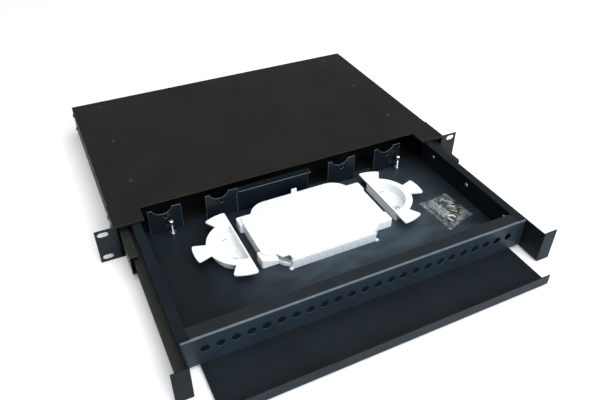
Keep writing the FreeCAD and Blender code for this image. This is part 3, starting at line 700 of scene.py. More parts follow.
class Workpiece:
    """A mesh in the making, which ends as one object of the scene."""

    def __init__(self) -> None:
        """Start with an empty mesh."""
        self.mesh = bmesh.new()
        self.finishes: list[Finish] = []
        self.current = 0

    def use(self, finish: Finish) -> None:
        """Give all faces made from here on this finish.

        Args:
            finish: The finish.
        """
        if finish not in self.finishes:
            self.finishes.append(finish)
        self.current = self.finishes.index(finish)

    def loft(self, rings: Sequence[Sequence[Vector]]) -> None:
        """Skin over closed rings with equally many points, with both ends filled.

        Args:
            rings: The rings in order.
        """
        made = [[self.mesh.verts.new(point) for point in ring] for ring in rings]
        count = len(made[0])
        for lower, upper in zip(made, made[1:]):
            for index in range(count):
                after = (index + 1) % count
                self.face((lower[index], lower[after], upper[after], upper[index]))
        self.face(list(reversed(made[0])))
        self.face(made[-1])

    def face(self, corners: Sequence[bmesh.types.BMVert]) -> None:
        """Add one smooth face with the current finish.

        Args:
            corners: Its corners in order.
        """
        made = self.mesh.faces.new(corners)
        made.smooth = True
        made.material_index = self.current

    def stack(self, rings: Sequence[tuple[Sequence[Point], float]],
              place: Matrix = Matrix()) -> None:
        """Skin over flat outlines at given heights, with both ends filled."""
        self.loft([[place @ Vector((x, y, z)) for x, y in outline] for outline, z in rings])

    def lathe(self, profile: Profile, place: Matrix = Matrix(), steps: int = 32) -> None:
        """Turn a profile of (radius, height) points round the piece's own Z axis."""
        self.loft([[place @ Vector((*around(radius, angle), z)) for angle in turns(steps)]
                   for radius, z in profile])

    def ring(self, profile: Profile, place: Matrix = Matrix(), steps: int = 48) -> None:
        """Turn a closed profile of (radius, height) points into a ring.

        Args:
            profile: The profile, in order.
            place: Where the ring's own frame stands.
            steps: How many pieces the turn is cut into.
        """
        rows = [[self.mesh.verts.new(place @ Vector((*around(radius, angle), z)))
                 for radius, z in profile] for angle in turns(steps)]
        for index, row in enumerate(rows):
            after = rows[(index + 1) % steps]
            for step in range(len(profile)):
                ahead = (step + 1) % len(profile)
                self.face((row[step], row[ahead], after[ahead], after[step]))

    def plate(self, outer: Sequence[Point], low: float, high: float,
              holes: Sequence[Sequence[Point]] = (), place: Matrix = Matrix()) -> None:
        """Flat plate with holes.

        Args:
            outer: Its outline.
            low: Height of its underside.
            high: Height of its top.
            holes: Outlines of the holes.
            place: Where the plate's own frame stands.
        """
        edges = []
        for outline in (outer, *holes):
            clean = [spot for index, spot in enumerate(outline)
                     if math.dist(spot, outline[index - 1]) > TOUCHING]
            corners = [self.mesh.verts.new(place @ Vector((x, y, low))) for x, y in clean]
            edges += [self.mesh.edges.new((corners[index - 1], corner))
                      for index, corner in enumerate(corners)]
        filled = bmesh.ops.triangle_fill(self.mesh, use_beauty=True, edges=edges)["geom"]
        faces = [item for item in filled if isinstance(item, bmesh.types.BMFace)]
        raised = bmesh.ops.extrude_face_region(self.mesh, geom=faces, use_keep_orig=True)["geom"]
        shift = place.to_3x3() @ Vector((0, 0, high - low))
        bmesh.ops.translate(self.mesh, vec=shift,
                            verts=[item for item in raised if isinstance(item, bmesh.types.BMVert)])
        touched = set(faces) | {item for item in raised if isinstance(item, bmesh.types.BMFace)}
        touched |= {around for item in faces for edge in item.edges for around in edge.link_faces}
        for item in touched:
            item.smooth = True
            item.material_index = self.current

    def bar(self, low: Sequence[float], high: Sequence[float], place: Matrix = Matrix()) -> None:
        """Straight block between two corners, to be rounded by the piece's bevel."""
        outline = [(low[0], low[1]), (high[0], low[1]), (high[0], high[1]), (low[0], high[1])]
        self.stack([(outline, low[2]), (outline, high[2])], place)

    def tube(self, path: Sequence[Vector], radius: float, steps: int = 10) -> None:
        """Round bar along a path.

        Args:
            path: Points of its middle line.
            radius: Its radius.
            steps: How many sides it has.
        """
        rings = []
        for index, spot in enumerate(path):
            way = path[min(index + 1, len(path) - 1)] - path[max(index - 1, 0)]
            turn = facing(spot, way)
            rings.append([turn @ Vector((*around(radius, angle), 0)) for angle in turns(steps)])
        self.loft(rings)

    def shift(self, move: Callable[[Vector], Vector]) -> None:
        """Move every vertex made so far."""
        for vertex in self.mesh.verts:
            vertex.co = move(vertex.co)

    def done(self, name: str, body: str, replaces: Sequence[str] = (),
             bevel: float = 0.0) -> None:
        """Turn the mesh into an object of the scene.

        Args:
            name: Name of the piece.
            body: CAD body that it rides on.
            replaces: CAD nodes that it stands for.
            bevel: Width of the rounding of its sharp edges.
        """
        bmesh.ops.remove_doubles(self.mesh, verts=self.mesh.verts, dist=TOUCHING)
        bmesh.ops.recalc_face_normals(self.mesh, faces=self.mesh.faces)
        data = bpy.data.meshes.new(name)
        self.mesh.to_mesh(data)
        self.mesh.free()
        piece = bpy.data.objects.new(name, data)
        bpy.context.scene.collection.objects.link(piece)
        for finish in self.finishes:
            data.materials.append(finish.material())
        soften(piece, bevel)
        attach(piece, body)
        if replaces:
            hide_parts(*replaces)
        LOG.info("%s on %s, %d faces", name, body, len(data.polygons))


def soften(piece: bpy.types.Object, width: float, weld: bool = False) -> None:
    """Round a piece's sharp edges and smooth its shading.

    Args:
        piece: The object.
        width: Width of the rounding; none at 0.
        weld: Whether faces that only touch are joined first.
    """
    if weld:
        piece.modifiers.new("weld", "WELD").merge_threshold = TOUCHING
        flats = piece.modifiers.new("flats", "DECIMATE")
        flats.decimate_type = "DISSOLVE"
        flats.angle_limit = math.radians(0.5)
    if width:
        bevel = piece.modifiers.new("rounding", "BEVEL")
        bevel.width = width
        bevel.segments = 2
        bevel.limit_method = "ANGLE"
        bevel.angle_limit = math.radians(32)
    normals = piece.modifiers.new("shading", "WEIGHTED_NORMAL")
    normals.keep_sharp = False
    normals.weight = 80


def dress(node: str, finish: Finish, width: float) -> None:
    """Give a CAD node its finish and round its edges.

    Args:
        node: Name of the CAD node.
        finish: Its finish.
        width: Width of the rounding.
    """
    piece = frame["nodes"][node]
    piece.data.materials.clear()
    piece.data.materials.append(finish.material())
    soften(piece, width, weld=True)
    if isinstance(finish, PowderCoat):
        piece.data.materials.append(finish.edge().material())
        piece.modifiers["rounding"].material = 1
    LOG.info("%s dressed as %s", node, finish.name)


# ------------------------------------------------------------------ fasteners

class Recess(Enum):
    """Drive of a screw head."""

    CROSS = "cross"
    NONE = "none"


@dataclass
class Fasteners:
    """Screw and rivet heads, set where the CAD solids stand."""

    cross_arm: float = 0.62
    cross_width: float = 0.15
    cross_depth: float = 0.75
    stem: float = 0.5
    most_turned: float = 1.5
    rings: int = 14
    steps: int = 44

    def head(self, work: Workpiece, spot: Vector, axis: Vector, radius: float, rise: float,
             recess: Recess, flat: bool = False, turn: float = 0.0) -> None:
        """Domed or flat head with its drive.

        Args:
            work: Workpiece that the head is added to.
            spot: Middle of the head's seat.
            axis: Way that the head faces.
            radius: Its radius.
            rise: Its height.
            recess: Its drive.
            flat: Whether the top is flat, as on a countersunk screw.
            turn: Angle of the drive in radians.
        """
        place = facing(spot, axis) @ Matrix.Rotation(turn, 4, "Z")
        rows = [[Vector((*around(radius, angle), -0.2 * rise)) for angle in turns(self.steps)]]
        for ring in range(self.rings + 1):
            share = 1 - ring / self.rings * 0.985
            if flat:
                dome = 1 - 0.1 * share ** 4
            else:
                dome = (1 - share ** 4) ** 0.5 * 0.72 + 0.28 - 0.1 * share
            row = []
            for angle in turns(self.steps):
                across, along = around(share, angle)
                sunk = self.sunk(across, along) if recess is Recess.CROSS else 0.0
                level = rise * (dome - sunk * self.cross_depth)
                row.append(Vector((radius * across, radius * along, level)))
            rows.append(row)
        work.loft([[place @ point for point in row] for row in rows])

    def sunk(self, across: float, along: float) -> float:
        """How deep the cross is at a point of the head, from 0 to 1.

        Args:
            across: Distance from the middle one way, as a share of the radius.
            along: Distance the other way.

        Returns:
            The depth.
        """
        near, far = sorted((abs(across), abs(along)))
        arm = min(1.0, max(0.0, (self.cross_width - near) / 0.05))
        return arm * min(1.0, max(0.0, (self.cross_arm - far) / 0.12))

    def sideways(self, node: str, name: str, finish: Finish, recess: Recess,
                 inward: bool = False) -> None:
        """Heads on the left and right faces.

        Args:
            node: CAD node that they stand for.
            name: Name of the new piece.
            finish: Their finish.
            recess: Their drive.
            inward: Whether they face the middle of the object.
        """
        work = Workpiece()
        work.use(finish)
        draws = random.Random(name)
        for low, high in solids_of(node):
            side = math.copysign(1.0, low.x)
            tip, tail = (low.x, high.x) if (side < 0) != inward else (high.x, low.x)
            way = math.copysign(1.0, tip - tail)
            radius, middle = (high.z - low.z) / 2, (low + high) / 2
            rise = min(abs(tip - tail), 0.55 * radius)
            seat = Vector((tip - way * rise, middle.y, middle.z))
            self.head(work, seat, Vector((way, 0, 0)), radius, rise, recess,
                      turn=draws.uniform(0, self.most_turned))
            work.lathe([(radius * self.stem, 0), (radius * self.stem, abs(tail - seat.x))],
                       facing(seat, Vector((-way, 0, 0))), 16)
        work.done(name, BODY_OF[node], [node])

    def upright(self, node: str, name: str, finish: Finish, flat: bool) -> None:
        """Heads that face up.

        Args:
            node: CAD node that they stand for.
            name: Name of the new piece.
            finish: Their finish.
            flat: Whether they are countersunk.
        """
        work = Workpiece()
        work.use(finish)
        draws = random.Random(name)
        for low, high in solids_of(node):
            radius, middle = (high.x - low.x) / 2, (low + high) / 2
            rise = 0.4 * radius if flat else 0.6 * radius
            seat = Vector((middle.x, middle.y, high.z - rise))
            self.head(work, seat, UP, radius, rise, Recess.CROSS, flat,
                      draws.uniform(0, self.most_turned))
            work.lathe([(radius * self.stem, low.z - seat.z), (radius * self.stem, 0)],
                       Matrix.Translation(seat), 16)
        work.done(name, BODY_OF[node], [node])

    def build(self) -> None:
        """Make every screw and rivet."""
        self.upright("cover_screws", "cover_screw_heads", BLACK_OXIDE, flat=True)
        self.upright("tray_screws", "tray_screw_heads", ZINC, flat=False)
        self.sideways("ear_screws", "ear_screw_heads", BLACK_OXIDE, Recess.CROSS)
        self.sideways("rear_panel_screws", "rear_screw_heads", BLACK_OXIDE, Recess.CROSS)
        self.sideways("outer_slide_rivets", "outer_rivet_heads", BLACK_OXIDE, Recess.NONE)
        self.sideways("inner_slide_rivets", "inner_rivet_heads", ZINC, Recess.NONE, inward=True)


# ------------------------------------------------------------------ sheet metal

@dataclass
class Sleeve:
    """Folded sleeve, cover, ears and rear panel with its grommets."""

    fold: float = 0.5 * MM
    cut_edge: float = 0.3 * MM
    grommet_ridges: int = 3
    grommet_bore: float = 7.0 * MM

    def build(self) -> None:
        """Dress the sheet metal and make the grommets."""
        dress("sleeve_base", SIDE_BLACK, self.fold)
        dress("rear_panel", POWDER_BLACK, self.fold)
        dress("top_cover", POWDER_BLACK, self.cut_edge)
        for side in ("left", "right"):
            dress(f"rack_ear_{side}", EAR_LIT_BLACK, self.fold)
        self.grommets()

    def grommets(self) -> None:
        """Rubber grommets with moulded steps round their bore."""
        work = Workpiece()
        work.use(GROMMET_RUBBER)
        for low, high in solids_of("cable_grommets"):
            outer, middle = (high.x - low.x) / 2, (low + high) / 2
            bore, deep = self.grommet_bore, high.y - low.y
            face = [(outer, deep - 2.2 * MM), (outer - 0.3 * MM, deep - 0.9 * MM),
                    (outer - 1.6 * MM, deep)]
            step = (outer - 2.4 * MM - bore) / self.grommet_ridges
            for ridge in range(self.grommet_ridges):
                start = outer - 2.0 * MM - ridge * step
                face += [(start - share * step, deep - sink * MM)
                         for share, sink in ((0.25, 0.15), (0.45, 0.7), (0.8, 0.5), (0.95, 0.1))]
            neck = outer - 2.1 * MM
            profile = [*face, (bore, deep - 0.6 * MM), (bore, 0.4 * MM), (bore + 0.5 * MM, 0.0),
                       (outer - 0.7 * MM, 0.0), (outer, 0.6 * MM), (outer, 1.9 * MM),
                       (neck, 2.0 * MM), (neck, deep - 2.4 * MM)]
            work.ring(profile, facing(Vector((middle.x, low.y, middle.z)), Vector((0, 1, 0))))
        work.done("rubber_grommets", "sleeve", ["cable_grommets"])


@dataclass
class Slides:
    """Two telescopic ball slides."""

    edge: float = 0.3 * MM

    def build(self) -> None:
        """Dress the members and the ball cages."""
        for side in ("left", "right"):
            for member in ("outer", "middle", "inner"):
                dress(f"slide_{member}_{side}", SLIDE_STEEL, self.edge)
            for cage in ("fixed", "moving"):
                dress(f"{cage}_ball_cage_{side}", CAGE_STEEL, 0.0)


@dataclass
class Drawer:
    """Drawer of folded sheet with its port panel, uprights and posts."""

    edge: float = 0.4 * MM
    # Width of the saddles' rounded edges, which carry their painted highlights.
    highlight_edge: float = 0.55 * MM
    thread_pitch: float = 0.7 * MM
    thread_depth: float = 0.22 * MM
    thread_radius: float = 2.0 * MM
    cap_radius: float = 3.3 * MM
    cap_tall: float = 6.0 * MM
    knurls: int = 24
    knurl_depth: float = 0.035

    def build(self) -> None:
        """Dress the sheet metal and make the posts."""
        dress("drawer_floor", FLOOR_BLACK, self.edge)
        for side in ("left", "right"):
            dress(f"drawer_side_{side}", HEM_BLACK, self.edge)
        dress("adapter_panel", FRONT_LIT_BLACK, self.edge)
        dress("rear_wall", WALL_SHADED_BLACK, self.edge)
        dress("cable_saddles", SADDLE_SHADED_BLACK, self.highlight_edge)
        self.posts()

    def posts(self) -> None:
        """Threaded posts: hexagon nut, washer, thread and a knurled cap."""
        work = Workpiece()
        work.use(ZINC)
        for low, high in solids_of("anchor_posts"):
            middle, tall = (low + high) / 2, high.z - low.z
            place = Matrix.Translation((middle.x, middle.y, low.z))
            nut = (high.x - low.x) / 2
            hexagon = [around(nut, angle) for angle in turns(6)]
            work.stack([(inset(hexagon, 0.5 * MM), 0.0), (hexagon, 0.35 * MM), (hexagon, 2.6 * MM),
                        (inset(hexagon, 0.5 * MM), 3.0 * MM)], place)
            work.lathe([(nut, 3.0 * MM), (nut * 1.02, 3.1 * MM), (nut * 1.02, 3.6 * MM),
                        (nut, 3.7 * MM)], place)
            self.thread(work, place, 3.6 * MM, tall - self.cap_tall)
            self.cap(work, place, tall - self.cap_tall, tall)
        work.done("threaded_posts", "drawer", ["anchor_posts"])

    def thread(self, work: Workpiece, place: Matrix, low: float, high: float) -> None:
        """Screw thread on a round stem.

        Args:
            work: Workpiece that it is added to.
            place: Placement of the post.
            low: Height of its lower end.
            high: Height of its upper end.
        """
        steps, rows = 24, int((high - low) / self.thread_pitch * 6)
        rings = []
        for row in range(rows + 1):
            z = low + (high - low) * row / rows
            ring = []
            for step in range(steps):
                phase = (z / self.thread_pitch - step / steps) % 1.0
                reach = self.thread_radius - self.thread_depth * abs(2 * phase - 1)
                angle = 2 * math.pi * step / steps
                ring.append(place @ Vector((*around(reach, angle), z)))
            rings.append(ring)
        work.loft(rings)

    def cap(self, work: Workpiece, place: Matrix, low: float, high: float) -> None:
        """Round cap with a knurled side and a domed top.

        Args:
            work: Workpiece that it is added to.
            place: Placement of the post.
            low: Height of its lower end.
            high: Height of its top.
        """
        rows = [(0.80, 0.0), (0.97, 0.06), (1.0, 0.14), (1.0, 0.74), (0.95, 0.84), (0.8, 0.93),
                (0.5, 0.985), (0.15, 1.0)]
        rings = []
        for share, up in rows:
            knurl = self.knurl_depth if share == 1.0 else 0.0
            reaches = (self.cap_radius * (share - knurl * (step % 2))
                       for step in range(2 * self.knurls))
            rings.append([place @ Vector((*around(reach, angle), low + (high - low) * up))
                          for reach, angle in zip(reaches, turns(2 * self.knurls))])
        work.loft(rings)


# ------------------------------------------------------------------ moulded parts

@dataclass
class SpliceTray:
    """White splice tray with entry tabs, apron and lug, and its loose lid."""

    half: float = 67.0 * MM
    reach: float = 54.0 * MM
    corner: float = 25.0 * MM
    end: float = 80.0 * MM
    neck: float = 38.0 * MM
    tab_end: float = 84.0 * MM
    tab_reach: float = 41.0 * MM
    tab_wide: float = 16.0 * MM
    wall: float = 1.6 * MM
    notch: Point = (-64.5 * MM, -53.0 * MM)
    sill: float = 5.0 * MM
    hub_spots: Point = (-46.0 * MM, 46.0 * MM)
    hub_radius: float = 15.0 * MM
    hub_tall: float = 6.5 * MM
    border: float = 7.0 * MM
    crown_corner: float = 19.0 * MM
    front_ribs: int = 9
    finger_grips: int = 7
    centre: Vector = field(init=False)
    floor: float = field(init=False)
    top: float = field(init=False)
    lid_low: float = field(init=False)
    lid_top: float = field(init=False)

    def __post_init__(self) -> None:
        """Take the heights and the middle from the CAD nodes."""
        lid_low, lid_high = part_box("splice_tray_lid")
        tray_low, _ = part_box("splice_tray")
        self.centre = (lid_low + lid_high) / 2
        self.centre.z = 0
        self.floor, self.top = tray_low.z, lid_low.z - 0.1 * MM
        self.lid_low, self.lid_top = lid_low.z, lid_high.z

    def place(self) -> Matrix:
        """Placement of the tray's own frame."""
        return Matrix.Translation(self.centre)

    def plan(self, tabs: bool) -> list[Point]:
        """Outline of the tray, with or without its tabs, always of equally many points.

        Args:
            tabs: Whether the entry tabs are part of it.

        Returns:
            The outline.
        """
        low = self.tab_reach - self.tab_wide
        if tabs:
            corners = [(self.end, low, 1.0 * MM), (self.tab_end, low, 1.6 * MM),
                       (self.tab_end, self.tab_reach, 2.4 * MM)]
            meet = self.tab_reach
        else:
            corners = [(self.end, low - 4 * MM, 0.5 * MM), (self.end, low - 1 * MM, 0.5 * MM),
                       (self.end, self.neck, 9.0 * MM)]
            meet = self.neck
        middle = (self.half - self.corner, self.reach - self.corner)
        begin = math.degrees(math.asin((meet - middle[1]) / self.corner))
        bow = arc(middle, self.corner, begin, 90, 14)
        guide = [(self.end, 0.0, 0.0), *corners, (bow[0][0], meet, 0.0),
                 (bow[0][0] - 5 * MM, meet, 0.0)]
        edge = rounded(guide)[1:-1]
        quarter = [(self.end, 0.3 * MM), *edge, *bow[1:]]
        return mirrored(quarter)

    def build(self) -> None:
        """Make the tray, its lid and what stands inside."""
        self.tray()
        self.lid()
        dress("splice_holders", WHITE_ABS, 0.3 * MM)

    def tray(self) -> None:
        """Open vessel with solid tabs, apron, toes, lug and winding hubs."""
        work = Workpiece()
        work.use(WHITE_ABS)
        outer, inner = self.plan(tabs=True), self.plan(tabs=False)
        low, top, wall = self.floor, self.top, self.wall
        work.stack([
            (inset(outer, 0.7 * MM), low), (outer, low + 0.7 * MM), (outer, top - 0.5 * MM),
            (inset(outer, 0.5 * MM), top), (inset(inner, wall - 0.4 * MM), top),
            (inset(inner, wall), top - 0.4 * MM),
            (inset(inner, wall + 0.1 * MM), low + wall + 0.9 * MM),
            (inset(inner, wall + 1.0 * MM), low + wall),
        ])
        sill, (left, right) = low + self.sill, self.notch

        def dip(point: Vector) -> Vector:
            """Lower the wall where the front entry is.

            Args:
                point: A point of the tray.

            Returns:
                The point where it belongs.
            """
            if left < point.x < right and point.y < -0.6 * self.neck and point.z > sill:
                point.z = sill
            return point

        work.shift(dip)
        self.apron(work)
        self.lug(work)
        for x in self.hub_spots:
            self.hub(work, x)
        self.entry_ribs(work)
        work.shift(lambda point: self.place() @ point)
        work.done("splice_tray_moulding", "drawer", ["splice_tray"], 0.3 * MM)

    def apron(self, work: Workpiece) -> None:
        """Front latch plate with a toe at each end.

        Args:
            work: Workpiece that it is added to.
        """
        low, tall, half = self.floor, self.top - self.floor, -self.notch[1]
        side = [(half + 4 * MM, 0), (half + 3.4 * MM, 1.4 * MM), (half, 4.4 * MM), (half, tall)]
        outline = side + [(-x, z) for x, z in reversed(side)]
        upright = Matrix.Translation((0, 0, low)) @ Matrix.Rotation(math.pi / 2, 4, "X")
        work.plate(outline, self.reach - 1.0 * MM, self.reach + 0.8 * MM, place=upright)
        for index in range(self.front_ribs):
            x = -half + 12 * MM + index * (2 * half - 24 * MM) / (self.front_ribs - 1)
            work.bar((x - 0.5 * MM, -self.reach - 1.3 * MM, low + 1.5 * MM),
                     (x + 0.5 * MM, -self.reach - 0.7 * MM, low + tall - 2.5 * MM))
        for side in (-1, 1):
            span = sorted((side * half, side * (half + 3.6 * MM)))
            work.bar((span[0], -self.reach - 2.2 * MM, low),
                     (span[1], -self.reach + 1 * MM, low + 1.6 * MM))

    def lug(self, work: Workpiece) -> None:
        """Upright spring lug behind the tray, with a bead on its tip.

        Args:
            work: Workpiece that it is added to.
        """
        low, high = self.floor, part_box("splice_tray")[1].z
        back = self.reach
        outline = rounded([
            (back - 0.2 * MM, low, 0), (back + 2.3 * MM, low, 0),
            (back + 2.3 * MM, high - 3 * MM, 2 * MM), (back + 1.9 * MM, high, 0.6 * MM),
            (back + 0.5 * MM, high, 0.6 * MM), (back + 0.35 * MM, self.top, 0),
            (back - 0.2 * MM, self.top, 0)])
        across = Matrix(((0, 0, 1, 0), (1, 0, 0, 0), (0, 1, 0, 0), (0, 0, 0, 1)))
        work.plate(outline, -4.0 * MM, 3.0 * MM, place=across)

    def hub(self, work: Workpiece, x: float) -> None:
        """Winding hub: thin round wall with four cross ribs.

        Args:
            work: Workpiece that it is added to.
            x: Its distance from the middle, to the right.
        """
        floor, place = self.floor + self.wall, Matrix.Translation((x, 0, 0))
        radius, high = self.hub_radius, floor + self.hub_tall
        work.ring([(radius, floor - 0.3 * MM), (radius, high), (radius - 1.5 * MM, high),
                   (radius - 1.6 * MM, floor - 0.3 * MM)], place)
        rib = radius - 1.4 * MM
        for turn in (0, math.pi / 2):
            work.bar((-rib, -0.5 * MM, floor - 0.2 * MM), (rib, 0.5 * MM, floor + 2.2 * MM),
                     place @ Matrix.Rotation(turn + 0.4, 4, "Z"))

    def entry_ribs(self, work: Workpiece) -> None:
        """Two small grip ribs on top of each entry tab.

        Args:
            work: Workpiece that they are added to.
        """
        for side in (-1, 1):
            for end in (-1, 1):
                middle = end * (self.tab_reach - self.tab_wide / 2)
                span = sorted((side * (self.end + 0.8 * MM), side * (self.tab_end - 0.8 * MM)))
                for y in (middle - 3.2 * MM, middle + 3.2 * MM):
                    work.bar((span[0], y - 0.6 * MM, self.top - 0.2 * MM),
                             (span[1], y + 0.6 * MM, self.top + 0.5 * MM))

    def lid(self) -> None:
        """Flat lid with a raised middle, a pressed border and the front notch."""
        work = Workpiece()
        work.use(WHITE_ABS)
        base = self.lid_low
        work.plate(self.notched(self.plan(tabs=False)), base, base + self.wall)
        work.plate(self.crown(), base + self.wall - 0.3 * MM, self.lid_top)
        for x in (-30 * MM, 30 * MM):
            work.plate(arc((x, 0), 2.2 * MM, 0, 345, 23), self.lid_top - 0.2 * MM,
                       self.lid_top + 0.15 * MM)
        self.finger_ribs(work)
        work.shift(lambda point: self.place() @ point)
        work.done("splice_tray_cover", "tray_lid", ["splice_tray_lid"], 0.35 * MM)

    def crown(self) -> list[Point]:
        """Outline of the lid's raised middle, a border's width inside the lid's own.

        Returns:
            The outline.
        """
        half, reach = self.half - self.border, self.reach - self.border
        end = self.end - self.border
        cut = (-self.notch[1] - self.border, reach - 8 * MM)
        shoulder = [(end, 26 * MM, 5 * MM), (half, 28 * MM, 4 * MM)]
        corner = self.crown_corner
        return rounded([(end, -26 * MM, 5 * MM), *shoulder,
                        (half, reach, corner), (-half, reach, corner),
                        *((-x, y, radius) for x, y, radius in reversed(shoulder)),
                        *((-x, -y, radius) for x, y, radius in shoulder),
                        (-half + 2 * MM, -cut[1], 5 * MM), (-cut[0], -cut[1], 3 * MM),
                        (-cut[0], -reach, 3 * MM),
                        (half, -reach, corner), (half, -28 * MM, 4 * MM)])

    def finger_ribs(self, work: Workpiece) -> None:
        """Row of grip ribs near the front edge of the lid.

        Args:
            work: Workpiece that they are added to.
        """
        for index in range(self.finger_grips):
            x = (index - self.finger_grips // 2) * 3.2 * MM
            work.bar((x - 0.7 * MM, -self.reach + 8.5 * MM, self.lid_top - 0.2 * MM),
                     (x + 0.7 * MM, -self.reach + 14 * MM, self.lid_top + 0.35 * MM))

    def notched(self, outline: Sequence[Point]) -> list[Point]:
        """Take the front notch out of an outline.

        Args:
            outline: The outline.

        Returns:
            The outline with its notch.
        """
        left, right = self.notch
        edge = -self.reach + 9 * MM
        kept: list[Point] = []
        for x, y in outline:
            if left - 4 * MM < x < right and y < edge:
                if kept and kept[-1] != (right, edge):
                    kept += [(left + 3.2 * MM, edge), (right, edge)]
            else:
                kept.append((x, y))
        return kept


@dataclass
class HalfMoon:
    """Half-round fibre spool: a drum with a floor, a rim, three tabs and two screw bosses."""

    side: str
    drum: float = 34.0 * MM
    rim: float = 39.0 * MM
    tab_reach: float = 55.0 * MM
    tab_angles: tuple[float, ...] = (-76.0, 0.0, 76.0)
    tab_half: float = 15.0
    wall: float = 1.6 * MM
    bosses: tuple[Point, ...] = ((14.0 * MM, -18.0 * MM), (14.0 * MM, 18.0 * MM))

    def half_round(self, radius: float, offset: float = 0.0) -> list[Point]:
        """D-shaped outline with its flat side at the given distance from the middle.

        Args:
            radius: Radius of its bow.
            offset: Distance of the flat side from the middle.

        Returns:
            The outline.
        """
        lean = math.degrees(math.asin(offset / radius))
        bow = arc((0, 0), radius, -90 + lean, 90 - lean, 40)
        first, last = bow[0], bow[-1]
        return [*bow[1:-1], (last[0], last[1] - 0.2 * MM), (offset, last[1] - 0.5 * MM),
                (offset, first[1] + 0.5 * MM), (first[0], first[1] + 0.2 * MM)]

    def crown(self) -> list[Point]:
        """Outline of the rim with its three tabs.

        Returns:
            The outline.
        """
        corners: list[Triple] = []

        def polar(radius: float, angle: float, rounding: float) -> Triple:
            """Corner at an angle in degrees."""
            a = math.radians(max(-90.0, min(90.0, angle)))
            return max(0.0, radius * math.cos(a)), radius * math.sin(a), rounding

        for tab in self.tab_angles:
            start, end = tab - self.tab_half, tab + self.tab_half
            if start > -90:
                corners += [polar(self.rim, start - 5, 0), polar(self.rim, start - 2.5, 0),
                            polar(self.rim, start + 1.2, 1.2 * MM)]
            corners.append(polar(self.tab_reach, start, 2.2 * MM))
            corners += [polar(self.tab_reach, start + (end - start) * k / 8, 0) for k in range(1, 8)
                        if -90 < start + (end - start) * k / 8 < 90]
            corners.append(polar(self.tab_reach, end, 2.2 * MM))
            if end < 90:
                corners += [polar(self.rim, end - 1.2, 1.2 * MM), polar(self.rim, end + 2.5, 0)]
                gap = self.tab_angles[-1] - 2 * self.tab_half
                corners += [polar(self.rim, end + gap * k / 10, 0) for k in range(1, 9)]
        return rounded(corners, 4)

    def build(self) -> None:
        """Make the spool in its own frame, then turn it to its side."""
        work = Workpiece()
        work.use(WHITE_ABS)
        node = f"half_moon_{self.side}"
        low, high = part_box(node)
        self.vessel(work, low.z, high.z)
        self.screw_bosses(work, low.z + self.wall)
        self.ribs(work, low.z + self.wall, high.z)
        way = 1 if self.side == "right" else -1
        flat = low.x if way > 0 else high.x
        middle_y = (low.y + high.y) / 2
        work.shift(lambda point: Vector((flat + way * point.x, middle_y + point.y, point.z)))
        work.done(f"spool_{self.side}", "drawer", [node], 0.35 * MM)

    def vessel(self, work: Workpiece, floor: float, top: float) -> None:
        """Drum with its floor, and the rim with its tabs on top.

        Args:
            work: Workpiece that it is added to.
            floor: Height of its underside.
            top: Height of its top.
        """
        wall = self.wall
        outer = self.half_round(self.drum)
        inner = self.half_round(self.drum - 2 * wall, wall)
        work.stack([
            (inset(outer, 0.7 * MM), floor), (outer, floor + 0.7 * MM), (outer, top - 0.3 * MM),
            (inner, top - 0.3 * MM), (inner, floor + wall + 1.0 * MM),
            (inset(inner, 0.9 * MM), floor + wall),
        ])
        hole = self.half_round(self.drum - 2 * wall - 0.1 * MM, wall + 0.1 * MM)
        work.plate(self.crown(), top - wall, top, [hole])

    def screw_bosses(self, work: Workpiece, floor: float) -> None:
        """Low bosses under the screws, each with four webs.

        Args:
            work: Workpiece that they are added to.
            floor: Height that they stand on.
        """
        profile = [(5.2 * MM, -0.2 * MM), (4.6 * MM, 0.6 * MM), (4.4 * MM, 1.8 * MM),
                   (4.1 * MM, 2.0 * MM)]
        for x, y in self.bosses:
            place = Matrix.Translation((x, y, floor))
            work.lathe(profile, place)
            for turn in turns(4):
                work.bar((3.6 * MM, -0.4 * MM, -0.2 * MM), (7.2 * MM, 0.4 * MM, 1.3 * MM),
                         place @ Matrix.Rotation(turn + 0.6, 4, "Z"))

    def ribs(self, work: Workpiece, floor: float, top: float) -> None:
        """Ribs on the floor, and one under each tab.

        Args:
            work: Workpiece that they are added to.
            floor: Height that the lower ones stand on.
            top: Height of the rim's top.
        """
        for angle in (-38, 38):
            work.bar((6 * MM, -0.5 * MM, floor - 0.2 * MM),
                     (self.drum - 2.6 * self.wall, 0.5 * MM, floor + 1.0 * MM),
                     Matrix.Rotation(math.radians(angle), 4, "Z"))
        for tab in self.tab_angles:
            spine = Matrix.Rotation(math.radians(max(-80.0, min(80.0, tab))), 4, "Z")
            work.bar((self.drum - 1 * MM, -0.8 * MM, top - 5.5 * MM),
                     (self.rim + 4 * MM, 0.8 * MM, top - self.wall + 0.2 * MM), spine)


# ------------------------------------------------------------------ accessory bag

